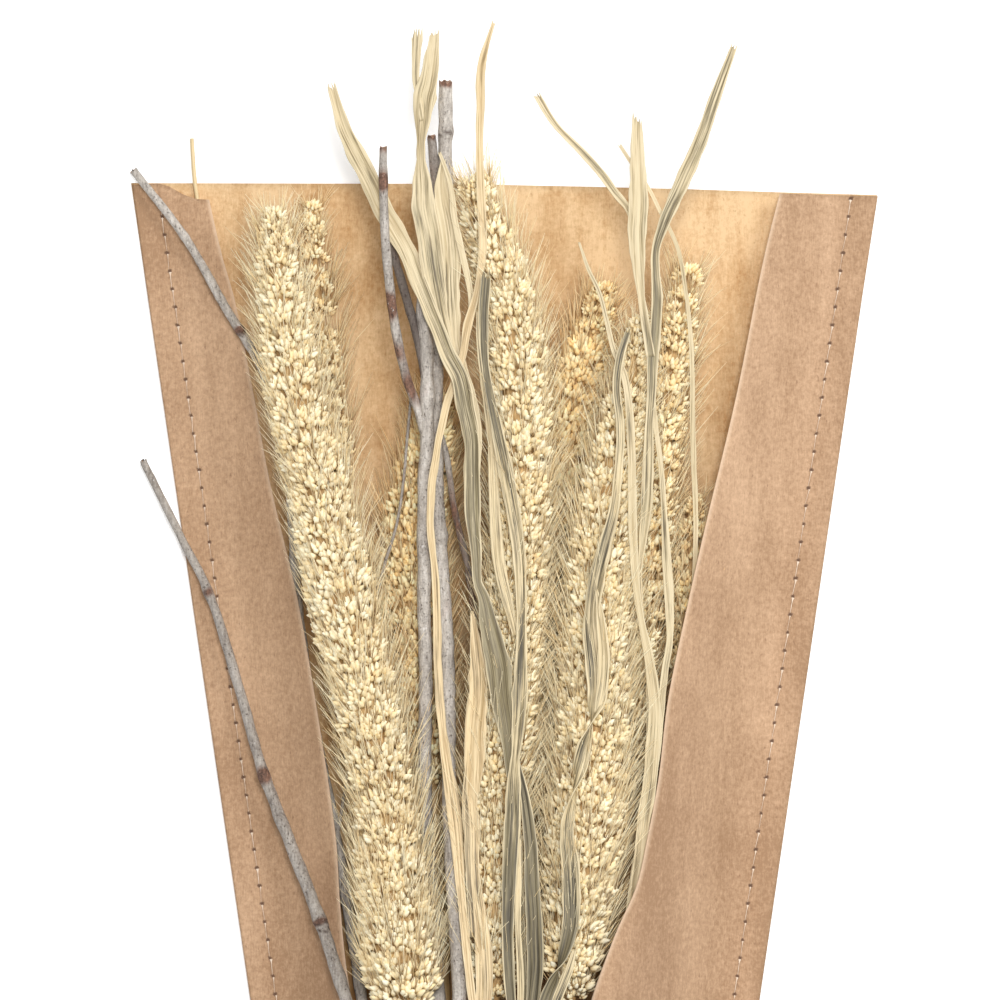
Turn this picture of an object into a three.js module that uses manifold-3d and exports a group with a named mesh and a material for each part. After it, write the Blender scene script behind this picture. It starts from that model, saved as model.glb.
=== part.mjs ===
// A bundle of dried foxtail millet, twigs and long dry leaves in a sewn kraft-paper sleeve, lying
// on its back.  Millimetres.  +Y runs from the cut stems to the tips, +Z is up from the table, and
// the origin is on the table under the middle of the whole bundle.
import * as THREE from 'three';
import Module from 'manifold-3d';
import { mergeVertices } from 'three/addons/utils/BufferGeometryUtils.js';

const wasm = await Module();
wasm.setup();

// ---------------------------------------------------------------- driving dimensions
const SHEET = 0.7;            // thickness of the kraft paper, as a stiff sheet
const REST_GAP = 0.3;         // daylight between pieces that touch
const SLEEVE_TOP = 199.5;
const SLEEVE_BOTTOM = -190;
const SLEEVE_HALF_TOP = 97.2; // half width at the top edge
const SLEEVE_TAPER = 0.146;   // half width lost for each millimetre down
const SEAM_INSET = 7.5;       // sewn line, in from the side edge
const CROWN_TOP = 30;         // how far the front sheet stands up in the middle: at the top,
const CROWN_BELLY = 42;       // at the bottom of the opening,
const CROWN_BOTTOM = 28;      // and at the lower end
const BELLY_Y = -55;
const RAMP_LEFT = 0.8;        // part of the way from seam to middle over which each side rises
const RAMP_RIGHT = 0.62;
const BLADE = 0.7;            // thickness of a dry leaf
const GRAIN_ROW = 4.4;        // spacing of the rows of grain clusters along a head
const GRAIN_SIDES = 12;       // clusters and gaps around a head
const CLUSTER = 1.25;         // how far a cluster stands out of the head, or a gap sinks in
const CLUSTER_LEAN = 1.5;     // clusters lean towards the tip
const STALK_RADIUS = 1.6;
const CULM_RADIUS = 1.5;
const PITCH = 4.0;            // spacing of the stems where they are tied
const BUNCH_Z = 15;
const GATHER_Y = -150;        // from here down the stems run side by side
const TIE_Y = -205;
const CUT_Y = -240;

// ---------------------------------------------------------------- materials
const paint = (color, roughness) => new THREE.MeshStandardMaterial({ color, roughness, metalness: 0 });
const finish = {
  grain: () => paint(0xf0dcae, 0.75),
  goldenGrain: () => paint(0xd9a868, 0.75),
  straw: () => paint(0xcbb27c, 0.6),
  bark: () => paint(0xa39d98, 0.85),
  paleLeaf: () => paint(0xdccb9c, 0.65),
  greyLeaf: () => paint(0x9a9880, 0.65),
  tanLeaf: () => paint(0xd8b47c, 0.65),
  kraft: () => paint(0xcfa27c, 0.8),
  thread: () => paint(0xdcc4a0, 0.9),
  twine: () => paint(0xb99a6b, 0.9),
};

// ---------------------------------------------------------------- tools
function seeded(seed) {
  let state = seed;
  return () => {
    state = (state * 1664525 + 1013904223) % 4294967296;
    return state / 4294967296;
  };
}

const mix = (a, b, t) => a + (b - a) * t;

// A closed geometry as a solid: corners are shared and flat scraps at the poles are dropped.
function toSolid(geometry) {
  const bare = geometry.clone();
  bare.deleteAttribute('normal');
  bare.deleteAttribute('uv');
  const shared = mergeVertices(bare, 1e-4);
  const index = shared.index.array;
  const triangles = [];
  for (let k = 0; k < index.length; k += 3) {
    const [a, b, c] = [index[k], index[k + 1], index[k + 2]];
    if (a !== b && b !== c && c !== a) triangles.push(a, b, c);
  }
  return new wasm.Manifold(new wasm.Mesh({
    numProp: 3,
    vertProperties: new Float32Array(shared.attributes.position.array),
    triVerts: new Uint32Array(triangles),
  }));
}

function toGeometry(solid) {
  const { vertProperties, triVerts } = solid.getMesh();
  const geometry = new THREE.BufferGeometry();
  geometry.setAttribute('position', new THREE.BufferAttribute(vertProperties, 3));
  geometry.setIndex(new THREE.BufferAttribute(triVerts, 1));
  geometry.computeVertexNormals();
  return geometry;
}

const fuse = (geometries) => toGeometry(
  geometries.map(toSolid).reduce((whole, piece) => whole.add(piece)),
);

const bundle = new THREE.Group();

function place(name, geometry, material) {
  const mesh = new THREE.Mesh(geometry, material);
  mesh.name = name;
  bundle.add(mesh);
}

// Moves every corner of a geometry to where `where(x, y, z)` puts it.
function reshape(geometry, where) {
  const corners = geometry.attributes.position;
  const p = new THREE.Vector3();
  for (let k = 0; k < corners.count; k += 1) {
    p.fromBufferAttribute(corners, k);
    where(p, k);
    corners.setXYZ(k, p.x, p.y, p.z);
  }
  return geometry;
}

// ---------------------------------------------------------------- stems: where they run
function curveThrough(stations) {
  const points = stations.map(([x, y, z]) => new THREE.Vector3(x, y, z));
  const curve = new THREE.CatmullRomCurve3(points, false, 'centripetal');
  curve.arcLengthDivisions = 800;
  return curve;
}

const lengthOf = (stations) => curveThrough(stations).getLength();

// The stems are packed like cigars where they are tied: `row` counts up from the middle row and
// `column` counts half pitches out from the middle.
function tail(last, row, column) {
  const x = (column * PITCH) / 2;
  const z = BUNCH_Z + row * PITCH * Math.sin(Math.PI / 3);
  const uneven = seeded(97 + 13 * row + column);
  uneven();
  const end = CUT_Y + 12 * uneven();
  const halfway = [(last[0] + x) / 2, (last[1] + GATHER_Y) / 2, (last[2] + z) / 2];
  return [halfway, [x, GATHER_Y, z], [x, TIE_Y, z], [x, end, z]];
}

const withTail = (stations, row, column) => [...stations, ...tail(stations.at(-1), row, column)];

// The directions across a curve at one place: `side` lies level and `up` points away from the table.
function across(curve, u) {
  const along = curve.getTangentAt(u);
  const side = new THREE.Vector3().crossVectors(along, new THREE.Vector3(0, 0, 1)).normalize();
  const up = new THREE.Vector3().crossVectors(side, along);
  return { side, up };
}

// Bends a turned solid, whose axis is Y from 0, along a curve from `start` on.
function bend(geometry, curve, start) {
  const whole = curve.getLength();
  return reshape(geometry, (p) => {
    const u = THREE.MathUtils.clamp((start + p.y) / whole, 0, 1);
    const { side, up } = across(curve, u);
    const spare = start + p.y - u * whole;
    const [x, z] = [p.x, p.z];
    p.copy(curve.getPointAt(u)).addScaledVector(side, x).addScaledVector(up, z);
    p.addScaledVector(curve.getTangentAt(u), spare);
  });
}

// A round stem along a curve between two lengths, with its radius given along the way.
function stem(curve, start, end, radiusAt, sides, step) {
  const steps = Math.max(2, Math.round((end - start) / step));
  const profile = [new THREE.Vector2(0, 0)];
  for (let k = 0; k <= steps; k += 1) {
    const t = k / steps;
    profile.push(new THREE.Vector2(radiusAt(t), t * (end - start)));
  }
  profile.push(new THREE.Vector2(0, end - start));
  return bend(new THREE.LatheGeometry(profile, sides), curve, start);
}

// ---------------------------------------------------------------- millet heads and their stalks
// Each head is one knobbly panicle: rows of grain clusters stand out of a core, every other one
// raised, and lean towards the tip.  `stations` run from the tip to the cut end of the stalk, the
// first `count` of them in the head, and `girth` lists the radius from tip to base.
const HEADS = [
  {
    name: 1, grain: 'grain', girth: [4, 8, 9.5, 9.8, 10.6, 11, 10, 9, 8.2, 8.6, 9.2, 8],
    head: [[-60, 192, 24], [-58, 172, 26], [-54, 143, 27], [-47, 114, 27.5], [-42, 90, 27.5],
      [-36, 65, 27.5], [-31, 38, 27.5], [-29, 17, 27.5], [-27, -4, 27.5], [-25, -16, 27.5]],
    stalk: [[-23.5, -24, 27]], row: 0, column: -2,
  },
  {
    name: 2, grain: 'goldenGrain', girth: [2.5, 4.6, 5.2, 5.2, 4.6],
    head: [[-50, 194, 7.5], [-49.5, 180, 7.2], [-48, 162, 7], [-45.5, 142, 7], [-42, 122, 7]],
    stalk: [[-38, 100, 7.5], [-33.5, 65, 8], [-31, 30, 8], [-28, -20, 8]], row: -2, column: -2,
  },
  {
    name: 3, grain: 'grain', girth: [5, 7.8, 8.8, 9, 9, 9, 9, 8.7, 8.2, 7.6, 7.6, 7],
    head: [[-9, 201, 25.5], [-5, 188, 26.3], [1, 168, 27], [4, 143, 27.5], [4, 117, 27.5],
      [3, 91, 27.5], [1, 65, 27.5], [-2, 39, 27.5], [-3, 13, 27.5], [-3, -13, 27.5]],
    stalk: [[-3, -22, 27]], row: 0, column: 0,
  },
  {
    name: 4, grain: 'goldenGrain', girth: [3, 6.5, 7.8, 8, 8, 7.6, 7, 6],
    head: [[26.5, 176, 9.6], [23, 161, 9.4], [18, 143, 9.4], [15, 122, 9.4], [12, 101, 9.4],
      [11, 78, 9.4], [9, 52, 9.4], [9, 31, 9.4]],
    stalk: [[8, 10, 9], [6, -20, 9]], row: -2, column: 2,
  },
  {
    name: 5, grain: 'grain', girth: [2.5, 5.5, 7.5, 9, 9.8, 10, 9.8, 9.4, 8.8, 7.2, 5.5],
    head: [[35, 165, 26], [32, 146, 26.5], [28, 125, 27], [25, 104, 27], [23.6, 85, 27],
      [23, 66, 27], [21.8, 45, 27], [19.3, 20, 27], [17.4, 0, 27], [16.8, -13, 27]],
    stalk: [[16.5, -20, 27]], row: 0, column: 2,
  },
  {
    name: 6, grain: 'goldenGrain', girth: [2.2, 4.4, 5.4, 5.5, 5.5, 5.2, 4.6],
    head: [[48, 178, 12], [45, 161, 12.5], [42, 143, 13], [40, 122, 13], [37, 101, 13],
      [35, 78, 13], [32, 55, 13], [30, 36, 13]],
    stalk: [[27, 5, 12], [24, -20, 11.5]], row: -1, column: 3,
  },
  {
    name: 7, grain: 'goldenGrain', girth: [2.5, 5.2, 5.8, 5.6, 4.8],
    head: [[49, 118, 7.4], [48.5, 101, 7.4], [47.5, 86, 7.4], [46, 68, 7.4]],
    stalk: [[43, 30, 7.3], [38, -20, 7.5]], row: 0, column: 4,
  },
  {
    name: 8, grain: 'goldenGrain', girth: [4.6, 8, 9, 9, 9, 8.4, 7],
    head: [[-18, 144, 10], [-19, 132, 10.4], [-23, 112, 10.4], [-24, 91, 10.4], [-22, 65, 10.4],
      [-19, 44, 10.4]],
    stalk: [[-17, 20, 9.5], [-15, -20, 9]], row: -2, column: 0,
  },
];

function girthAt(girth, t) {
  const place01 = t * (girth.length - 1);
  const k = Math.min(Math.floor(place01), girth.length - 2);
  return mix(girth[k], girth[k + 1], place01 - k);
}

function headGeometry(curve, length, girth, random) {
  const rows = Math.round(length / GRAIN_ROW);
  const profile = [new THREE.Vector2(0, 0)];
  for (let k = 1; k < rows; k += 1) {
    profile.push(new THREE.Vector2(girthAt(girth, k / rows), (k / rows) * length));
  }
  profile.push(new THREE.Vector2(STALK_RADIUS, length), new THREE.Vector2(0, length));
  const turned = new THREE.LatheGeometry(profile, GRAIN_SIDES);
  const swell = Array.from({ length: rows * GRAIN_SIDES }, () => 0.55 + 0.45 * random());
  reshape(turned, (p, k) => {
    const row = k % profile.length;
    const side = Math.floor(k / profile.length) % GRAIN_SIDES;
    if (row === 0 || row >= rows) return;
    const raised = (row + side) % 2 === 0;
    const girthHere = Math.hypot(p.x, p.z);
    const share = swell[row * GRAIN_SIDES + side];
    const out = (raised ? share - 0.9 : -1 - share) * CLUSTER;
    p.x *= (girthHere + out) / girthHere;
    p.z *= (girthHere + out) / girthHere;
    if (raised) p.y -= CLUSTER_LEAN;
  });
  return bend(turned, curve, 0);
}

for (const plant of HEADS) {
  const route = withTail([...plant.head, ...plant.stalk], plant.row, plant.column);
  const curve = curveThrough(route);
  const headLength = lengthOf(plant.head);
  const random = seeded(400 + plant.name);
  const head = headGeometry(curve, headLength, plant.girth, random);
  place(`millet_head_${plant.name}`, fuse([head]), finish[plant.grain]());
  const start = headLength + REST_GAP;
  const stalk = stem(curve, start, curve.getLength(), () => STALK_RADIUS, 6, 17);
  place(`millet_stalk_${plant.name}`, fuse([stalk]), finish.straw());
}

// ---------------------------------------------------------------- twigs
// Bare weathered twigs.  `radius` runs from tip to base, `knots` are swollen nodes at millimetres
// from the tip, and branches are fused into the twig that bears them.
const TWIGS = [
  {
    name: 1, radius: [1.2, 1.9],
    route: [[-94, 127, 4.2], [-84, 107, 4.6], [-77, 93, 5.6], [-69, 68, 6.8], [-63, 47, 8.2],
      [-55, 26, 10.6], [-48, 8, 14], [-41, -13, 18.6], [-37, -24, 20.4], [-32, -36, 21],
      [-25, -55, 21]],
    row: 1, column: -3, branches: [], knots: [95, 131],
  },
  {
    name: 2, radius: [1.1, 1.7],
    route: [[-96, 202, 4.6], [-83, 185, 6], [-72, 166, 8], [-63, 151, 9.2], [-57, 130, 9.6],
      [-55, 110, 8.4], [-54, 91, 7], [-50, 60, 6.4], [-44, 30, 7.2], [-39, 0, 9.4], [-36, -20, 12.6]],
    row: 0, column: -4, knots: [22, 60],
    branches: [{
      radius: 0.7,
      route: [[-24.5, 142, 25], [-25.4, 132, 24], [-26.3, 122, 22.5], [-28, 111, 20.5],
        [-31.3, 100, 18.2], [-35, 85, 15.2], [-37.5, 65, 12.2], [-41, 45, 9.6], [-43.6, 29, 7.4]],
    }],
  },
  {
    name: 3, radius: [1.9, 1.9],
    route: [[-21.4, 166, 29.5], [-20.4, 157, 29.5], [-20.2, 145, 29.4], [-20.2, 133, 29],
      [-20.8, 122, 28.4], [-21, 108, 27.3], [-20.9, 88, 26], [-20.5, 70, 24.8], [-20.8, 52, 23.4],
      [-20.6, 38, 22], [-19.5, 22, 20.4], [-18, 5, 18.8], [-17, -20, 17]],
    row: -1, column: -1, knots: [22, 56],
    branches: [
      {
        radius: 1.35,
        route: [[-31.5, 208, 36.5], [-31.4, 196, 35.8], [-30.9, 184, 34.4], [-29.8, 172, 32.6],
          [-28.6, 163, 31], [-27, 154.7, 30.2], [-25, 147, 29.6], [-22.4, 140, 29.2],
          [-20.6, 133, 29]],
      },
      {
        radius: 1.25,
        route: [[-30.6, 186, 28], [-28.4, 179, 28.2], [-26.6, 173, 28.5], [-24, 164, 29],
          [-21.6, 156, 29.4]],
      },
    ],
  },
  {
    name: 4, radius: [1.65, 1.9],
    route: [[-14.9, 225, 32.5], [-14.9, 212, 31], [-15, 200, 29.6], [-15.6, 188, 28.4],
      [-16.6, 172, 26.8], [-17.6, 155, 25.4], [-17.9, 140, 24.6], [-17.8, 128, 24.3],
      [-17.4, 116, 24.1], [-16.6, 103, 24.1], [-15.7, 90, 24.4], [-14.9, 76, 25], [-14.7, 63, 25.7],
      [-14.6, 50, 26.8], [-14.4, 38, 28], [-13.9, 25, 29.6], [-13, 10, 31.4], [-12, -5, 32.4],
      [-11.5, -20, 32]],
    row: 1, column: -1, knots: [118],
    branches: [{
      radius: 1.3,
      route: [[-19.3, 211, 31.6], [-18.4, 205, 30.6], [-16.9, 199, 29.8], [-15.2, 192, 29]],
    }],
  },
  {
    name: 5, radius: [0.8, 1.3],
    route: [[-16.6, 134, 20.8], [-15, 127.4, 20.8], [-13.3, 115.4, 20.8], [-12, 109.5, 20.7],
      [-9.6, 99.6, 20.5], [-8.4, 91.5, 20.2], [-8, 84, 19.8], [-8.4, 60, 19], [-9, 30, 18],
      [-9, 0, 17.4], [-8, -20, 17]],
    row: -1, column: 1, branches: [], knots: [38],
  },
  {
    name: 6, radius: [0.5, 0.9],
    route: [[-81.4, 211, 1.7], [-80.4, 198, 1.55], [-76, 175, 1.6], [-69, 140, 1.9], [-62, 100, 2.6],
      [-54, 50, 3.4], [-46, 6, 4.4], [-40, -20, 5.4]],
    row: -1, column: -3, branches: [], knots: [],
  },
];

function twigGeometry(twig) {
  const curve = curveThrough(withTail(twig.route, twig.row, twig.column));
  const whole = curve.getLength();
  const [tip, base] = twig.radius;
  const thick = (t) => mix(tip, base, Math.min(1, t * 3));
  const wood = stem(curve, 0, whole, thick, 6, 14);
  const knots = twig.knots.map((at) => {
    const girth = thick(at / whole);
    return stem(curve, at - girth, at + girth, (t) => girth * (1 + 0.22 * Math.sin(Math.PI * t)), 6, girth);
  });
  const branches = twig.branches.map((branch) => {
    const side = curveThrough(branch.route);
    return stem(side, 0, side.getLength(), (t) => branch.radius * (0.85 + 0.15 * t), 6, 9);
  });
  return fuse([wood, ...knots, ...branches]);
}

for (const twig of TWIGS) {
  place(`twig_${twig.name}`, twigGeometry(twig), twig.radius[0] < 0.6 ? finish.straw() : finish.bark());
}

// ---------------------------------------------------------------- leafy stems
// Long dry grass leaves.  A blade is listed from its tip down as [x, y, z, width, turn], with turn
// the degrees it is rolled about its own length, and it ends sunk into the culm that bears it.
const LEAFY_STEMS = [
  {
    name: 1, color: 'paleLeaf', row: 1, column: 1, culm: [[5, -14, 33.6], [5, -30, 32.6]],
    blades: [
      { // long channelled leaf, crossing from the upper left to the middle
        fold: 0.14,
        stations: [[-45, 224.5, 35, 2, 0], [-41.6, 213, 34, 3.6, 5], [-39, 207.5, 33.2, 4.6, 8],
          [-35.1, 200, 32.2, 5, 8], [-31.7, 192.5, 31.3, 5, 4], [-28.3, 186.7, 31.5, 5, 0],
          [-25.2, 181, 32.4, 4.8, 0], [-22.4, 173.7, 33.4, 4.2, 0], [-20, 167.7, 34.2, 4.1, 0],
          [-17.7, 162.2, 35, 3.8, 0], [-14.6, 154.4, 35.9, 4.1, 0], [-11.7, 148.7, 36.2, 4.6, 0],
          [-10.1, 141, 36.2, 5, 10], [-8.5, 133, 36.2, 4.2, 12], [-8.4, 125, 36.2, 4.4, 8],
          [-8.3, 114, 36.2, 4.1, 5], [-7.5, 103.5, 36.6, 2.8, 0], [-7, 95.7, 36.9, 2.2, 0],
          [-5.5, 91.5, 37.1, 3, 0], [-3.9, 83.7, 37.4, 5, 0], [-1.6, 73.6, 37.7, 6.8, 0],
          [-0.7, 65, 37.7, 6, 5], [0.5, 57, 37.4, 3.8, 0], [2, 45, 36.3, 3, 0],
          [3, 30, 35.2, 2.4, 0], [4, 8, 34.2, 2.2, 0], [5, -18, 33.2, 2, 0]],
      },
      { // broad leaf with a forked tip, outer half
        fold: 0.1,
        stations: [[-22.8, 239, 37, 3, 0], [-23.3, 231, 36.4, 2.6, 0], [-22.4, 225, 36, 4, 0],
          [-21.1, 220, 35.6, 5.6, 0], [-21.4, 214.5, 35, 4.4, 20], [-21.6, 209, 34.6, 2.6, 35],
          [-21.6, 204, 34.3, 2.6, 20], [-21.4, 199, 34, 4.6, 0], [-21.2, 193, 33.8, 6, 0],
          [-19.9, 186, 33.6, 6, 0], [-19, 179.4, 33.3, 5.8, 0], [-17.9, 172.6, 33, 5.2, 0],
          [-16.8, 166.4, 32.8, 4, 0], [-15.4, 160, 32.6, 3, 0], [-14.2, 155, 32.5, 2.2, 0]],
      },
      { // the other prong of its tip
        fold: 0,
        stations: [[-17.9, 238.4, 37, 2.3, 0], [-19, 231.4, 36.6, 3.4, 0], [-20, 225, 36.1, 3.8, 0],
          [-20.8, 218, 35.5, 3.6, 0]],
      },
      { // inner half, ending in a strip that joins the long leaf
        fold: 0.1,
        stations: [[-16, 205, 33.8, 1, 0], [-16.4, 199, 33.6, 3, 0], [-16, 194.5, 33.4, 4.6, 0],
          [-14.6, 187, 33.2, 5.1, 0], [-13.9, 179.4, 33, 5.2, 0], [-13.8, 172.6, 32.8, 4, 0],
          [-13.3, 163.8, 32.6, 3.6, 0], [-12.9, 157.3, 32.4, 3.2, 0], [-10.8, 150.8, 32.6, 2.2, 0],
          [-8.8, 144.8, 33.4, 2, 0], [-7.2, 137.7, 34.4, 2, 0], [-7, 131, 35.4, 2, 0],
          [-7.8, 123, 36.2, 1.8, 0]],
      },
    ],
  },
  {
    name: 2, color: 'tanLeaf', row: 2, column: -2, culm: [[-7.6, -14, 37.2], [-7, -30, 35.6]],
    blades: [
      { // the ribbon that winds over the twigs
        fold: 0.06,
        stations: [[-2.9, 240.6, 39, 0.9, 0], [-4.7, 234.7, 38.4, 1.4, 0], [-6.1, 229, 37.8, 2.4, 15],
          [-6.3, 220, 36.8, 2.3, 10], [-6.6, 209, 35.8, 1.8, 0], [-6.4, 200, 35, 2.1, 0],
          [-5.9, 190, 34.5, 2.2, 0], [-5.9, 180, 34.3, 2.1, 0], [-7.4, 170.5, 34.1, 1.6, 0],
          [-9.6, 162.2, 34.1, 2.4, 0], [-11.3, 153, 34.1, 1.8, 0], [-14.8, 142.7, 33.6, 2, 0],
          [-17.4, 131, 32.6, 1.9, 0], [-19, 119.5, 31.5, 2.2, 0], [-19.3, 110, 30.6, 1.9, 0],
          [-18.1, 98, 29.6, 1.9, 0], [-17.6, 87, 28.9, 2.2, 0], [-17.4, 75.7, 28.6, 2.2, 0],
          [-16.7, 63, 28.9, 2.3, 0], [-15.5, 52, 30, 2.5, 0], [-13.9, 41, 31.4, 3.6, 0],
          [-12.8, 32.5, 32.6, 3.6, 0], [-12, 23, 33.6, 2.8, 0], [-11, 12, 34.8, 2.2, 0],
          [-9.9, 0, 36, 2.2, 0], [-8, -16, 37, 2, 0]],
      },
      { // the leaf beside it, split at its lower end
        fold: 0.08,
        stations: [[-8.4, 88, 35.6, 0.9, 0], [-7.4, 78, 35.9, 3.4, 8], [-6.9, 71.8, 36, 4.8, 8],
          [-7, 65, 35.8, 5.2, 8], [-7.6, 58, 35.6, 5.8, 6], [-7.9, 50, 35.2, 5.4, 4],
          [-8.2, 44, 35, 4, 0], [-8.4, 39, 34.9, 2.6, 0], [-7.8, 32, 34.9, 2.6, 0],
          [-7.6, 22, 35.3, 2.2, 0], [-7.4, 10, 36, 2, 0], [-7.4, -14, 37, 2, 0]],
      },
      {
        fold: 0,
        stations: [[-8.6, 52, 35, 2.2, 0], [-9.6, 46, 34.6, 2, 0], [-10.2, 38, 34.4, 1.8, 0],
          [-9.8, 30, 34.6, 1.8, 0], [-9.2, 18, 35.2, 1.6, 0], [-8.4, 4, 36, 1.8, 0]],
      },
    ],
  },
  {
    name: 3, color: 'greyLeaf', row: 2, column: 0, culm: [[3.8, -14, 37], [3.4, -30, 36]],
    blades: [
      { // square-cut grey leaf down the middle
        fold: 0.12,
        stations: [[-4.6, 170, 36.4, 2.8, 0], [-5.2, 160, 36.2, 2.3, 0], [-4.7, 150, 36.2, 2, 0],
          [-3.4, 142, 36.5, 2.4, 0], [-1.8, 134, 37, 3, 0], [-0.3, 127, 37.5, 3.8, 0],
          [1.4, 118, 38, 3.9, 0], [3.1, 108, 38.3, 3.5, 0], [4, 98, 38.6, 3, 0],
          [4.3, 86, 38.9, 2.6, 0], [4.2, 76, 39.2, 3, 0], [3.9, 67, 39.5, 4.2, 0],
          [3.4, 59, 39.7, 3.4, 0], [2.7, 51, 39.6, 2.2, 0], [2.2, 44, 39.2, 3.6, 0],
          [1.8, 33, 38.7, 4.2, 0], [1.1, 20, 38.4, 3.8, 0], [0.7, 6, 38.2, 3, 0],
          [1.2, -8, 37.8, 2.8, 0], [2.6, -22, 36.8, 2, 0]],
      },
      { // its partner below, on the right
        fold: 0.12,
        stations: [[3, 50, 39.4, 1.2, 0], [4.6, 43, 38.8, 2, 0], [5.7, 36, 38.4, 2.9, 0],
          [6.6, 28, 38.1, 3.4, 0], [7, 18, 37.8, 3.8, 0], [7.6, 7, 37.4, 4.4, 0],
          [7.8, -5, 36.9, 4.2, 0], [6, -20, 36.4, 3, 0], [4, -30, 36.2, 2, 0]],
      },
      { // thin tan strip between the two
        fold: 0,
        stations: [[3.6, 30, 38.2, 1, 0], [3.4, 18, 37.9, 1.8, 0], [3.4, 6, 37.6, 1.6, 0],
          [4, -8, 37.2, 1.8, 0], [3.8, -20, 36.8, 1.6, 0]],
      },
      { // yellow strip on the left, tucked under the square-cut leaf
        fold: 0,
        stations: [[-7, 166, 35.5, 1, 0], [-6.6, 158, 35.7, 1.6, 0], [-5.6, 148.7, 35.8, 1.8, 0],
          [-4.4, 140, 36.2, 2, 0], [-3.4, 132, 36.6, 2.4, 0], [-3, 122, 36.8, 2.6, 4],
          [-2.4, 110, 37, 3, 4], [-1.4, 100, 37.4, 3.2, 0], [0.6, 91, 38, 2.6, 0],
          [2.8, 82, 38.6, 1.8, 0]],
      },
    ],
  },
  {
    name: 4, color: 'greyLeaf', row: 2, column: 2, culm: [[9, -20, 38.6], [8, -34, 36.6]],
    blades: [
      { // the leaf that twists three times on its way down
        fold: 0.1,
        stations: [[31.9, 161, 37.4, 1.6, 0], [29.6, 153.4, 38, 2.2, 0], [28.8, 146, 38.4, 2.1, 0],
          [29.8, 136, 38.6, 2.1, 0], [29.3, 124.8, 38.8, 2.1, 0], [28, 114, 38.8, 2.6, 0],
          [25.4, 104, 38.9, 3.6, 0], [23.6, 95.7, 39, 4.6, 15], [22.4, 88, 39, 3.6, 10],
          [22.9, 79, 39.2, 5.6, 0], [23.8, 71.8, 39.2, 6, 0], [23.6, 64, 39.1, 4.8, 0],
          [21.8, 57, 39, 3, 25], [19.6, 49, 38.8, 4.4, 10], [18, 40, 38.6, 3.8, 0],
          [16.3, 32, 38.2, 3.2, 0], [15.5, 27, 38, 1.7, 0], [16.4, 21.3, 37.8, 3.8, 0],
          [17.1, 13.5, 37.9, 4.1, 0], [16.6, 6, 38.2, 4, 0], [14.6, -2, 38.8, 4.2, 0],
          [11.6, -10, 39.3, 3.8, 0], [9, -22, 38.4, 2.4, 0]],
      },
      { // the pale piece that lies along its lower end
        fold: 0,
        stations: [[18, 1, 37.6, 1, 0], [16.2, -5, 38, 2.4, 0], [13.4, -12, 38.6, 2.6, 0],
          [9.6, -22, 38.4, 2, 0]],
      },
    ],
  },
  {
    name: 5, color: 'paleLeaf', row: 1, column: 3, culm: [[29, -12, 27], [27, -30, 26.6]],
    blades: [
      { // cream ribbon, from the upper middle down to the right flap
        fold: 0.1,
        stations: [[19.1, 183.6, 37.6, 1, 0], [21.6, 176.5, 37, 1.6, 0], [24.2, 171, 36.6, 1.8, 0],
          [26.2, 163.5, 36.3, 1.6, 0], [28, 156, 36.2, 1.6, 0], [30.8, 149, 36.4, 1.7, 0],
          [32, 141, 36.8, 1.9, 0], [32.6, 131, 36.9, 2.1, 0], [32.8, 120, 36.7, 2.2, 0],
          [33, 109, 36, 2.3, 0], [33.8, 96, 34.4, 1.9, 0], [35, 87, 32.8, 1.7, 0],
          [36.7, 79, 31.4, 2.2, 0], [38, 71, 30.2, 2.7, 0], [38.7, 62, 29.4, 3.2, 0],
          [38.2, 53, 28.8, 3.6, 0], [37.4, 44, 28.2, 3.6, 0], [36, 35, 27.8, 3.4, 0],
          [34.8, 25, 27.6, 3, 0], [33.2, 14, 27.4, 2.4, 0], [31, 2, 27.2, 2.2, 0],
          [29, -14, 27, 2, 0]],
      },
      { // broad leaf standing out over the top edge
        fold: 0.12,
        stations: [[34.1, 216, 37.6, 2.4, 0], [34.2, 208, 37.2, 3.2, 0], [34.4, 199, 36.8, 4.4, 0],
          [34.5, 193, 36.5, 5.2, 0], [34.1, 186, 36.2, 4.7, 0], [34.5, 178, 36, 3.2, 10],
          [35.2, 170, 35.9, 1.9, 20], [36.4, 162, 35.8, 2.2, 10], [37.6, 154, 35.6, 2.2, 0]],
      },
      { // channelled leaf leaning out to the upper right
        fold: 0.12,
        stations: [[59.3, 234.5, 35, 1.6, 0], [54.8, 222.3, 35.2, 2.8, 0], [50.3, 209.5, 35.2, 3.5, 0],
          [45.3, 198, 35.1, 3.8, 0], [41.7, 190, 35, 3, 0], [39, 182, 35, 2.1, 0],
          [38.9, 176, 35, 2.2, 0], [39.3, 170, 35.1, 2.8, 0], [38.9, 162, 35.2, 2.8, 0],
          [38.2, 153.4, 35.4, 3, 0], [37.9, 146, 35.5, 2.4, 0], [37.3, 137, 35.2, 1.9, 0],
          [36.8, 127.4, 34.6, 2.2, 0], [36.2, 116, 33.4, 2.2, 0], [35.4, 104, 32, 1.8, 0],
          [34.9, 94, 30.6, 1.8, 0], [35.2, 80, 29, 1.8, 0], [35.4, 60, 27.4, 1.8, 0],
          [33.8, 35, 26.6, 1.8, 0], [31.4, 10, 26.8, 1.8, 0], [29, -14, 27, 1.8, 0]],
      },
      { // narrow strip that leaves it to the right
        fold: 0,
        stations: [[38, 147, 35.3, 1.2, 0], [39, 136, 34.5, 1.5, 0], [40.3, 126, 33.4, 1.4, 0],
          [41.3, 113, 32, 1.4, 0], [42, 99, 31, 1.5, 0], [42.5, 86, 30.4, 1.6, 0],
          [41.8, 75, 30, 1.8, 0], [40, 66, 29.6, 1.6, 0]],
      },
      { // slender leaf reaching to the upper left
        fold: 0.1,
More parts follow.
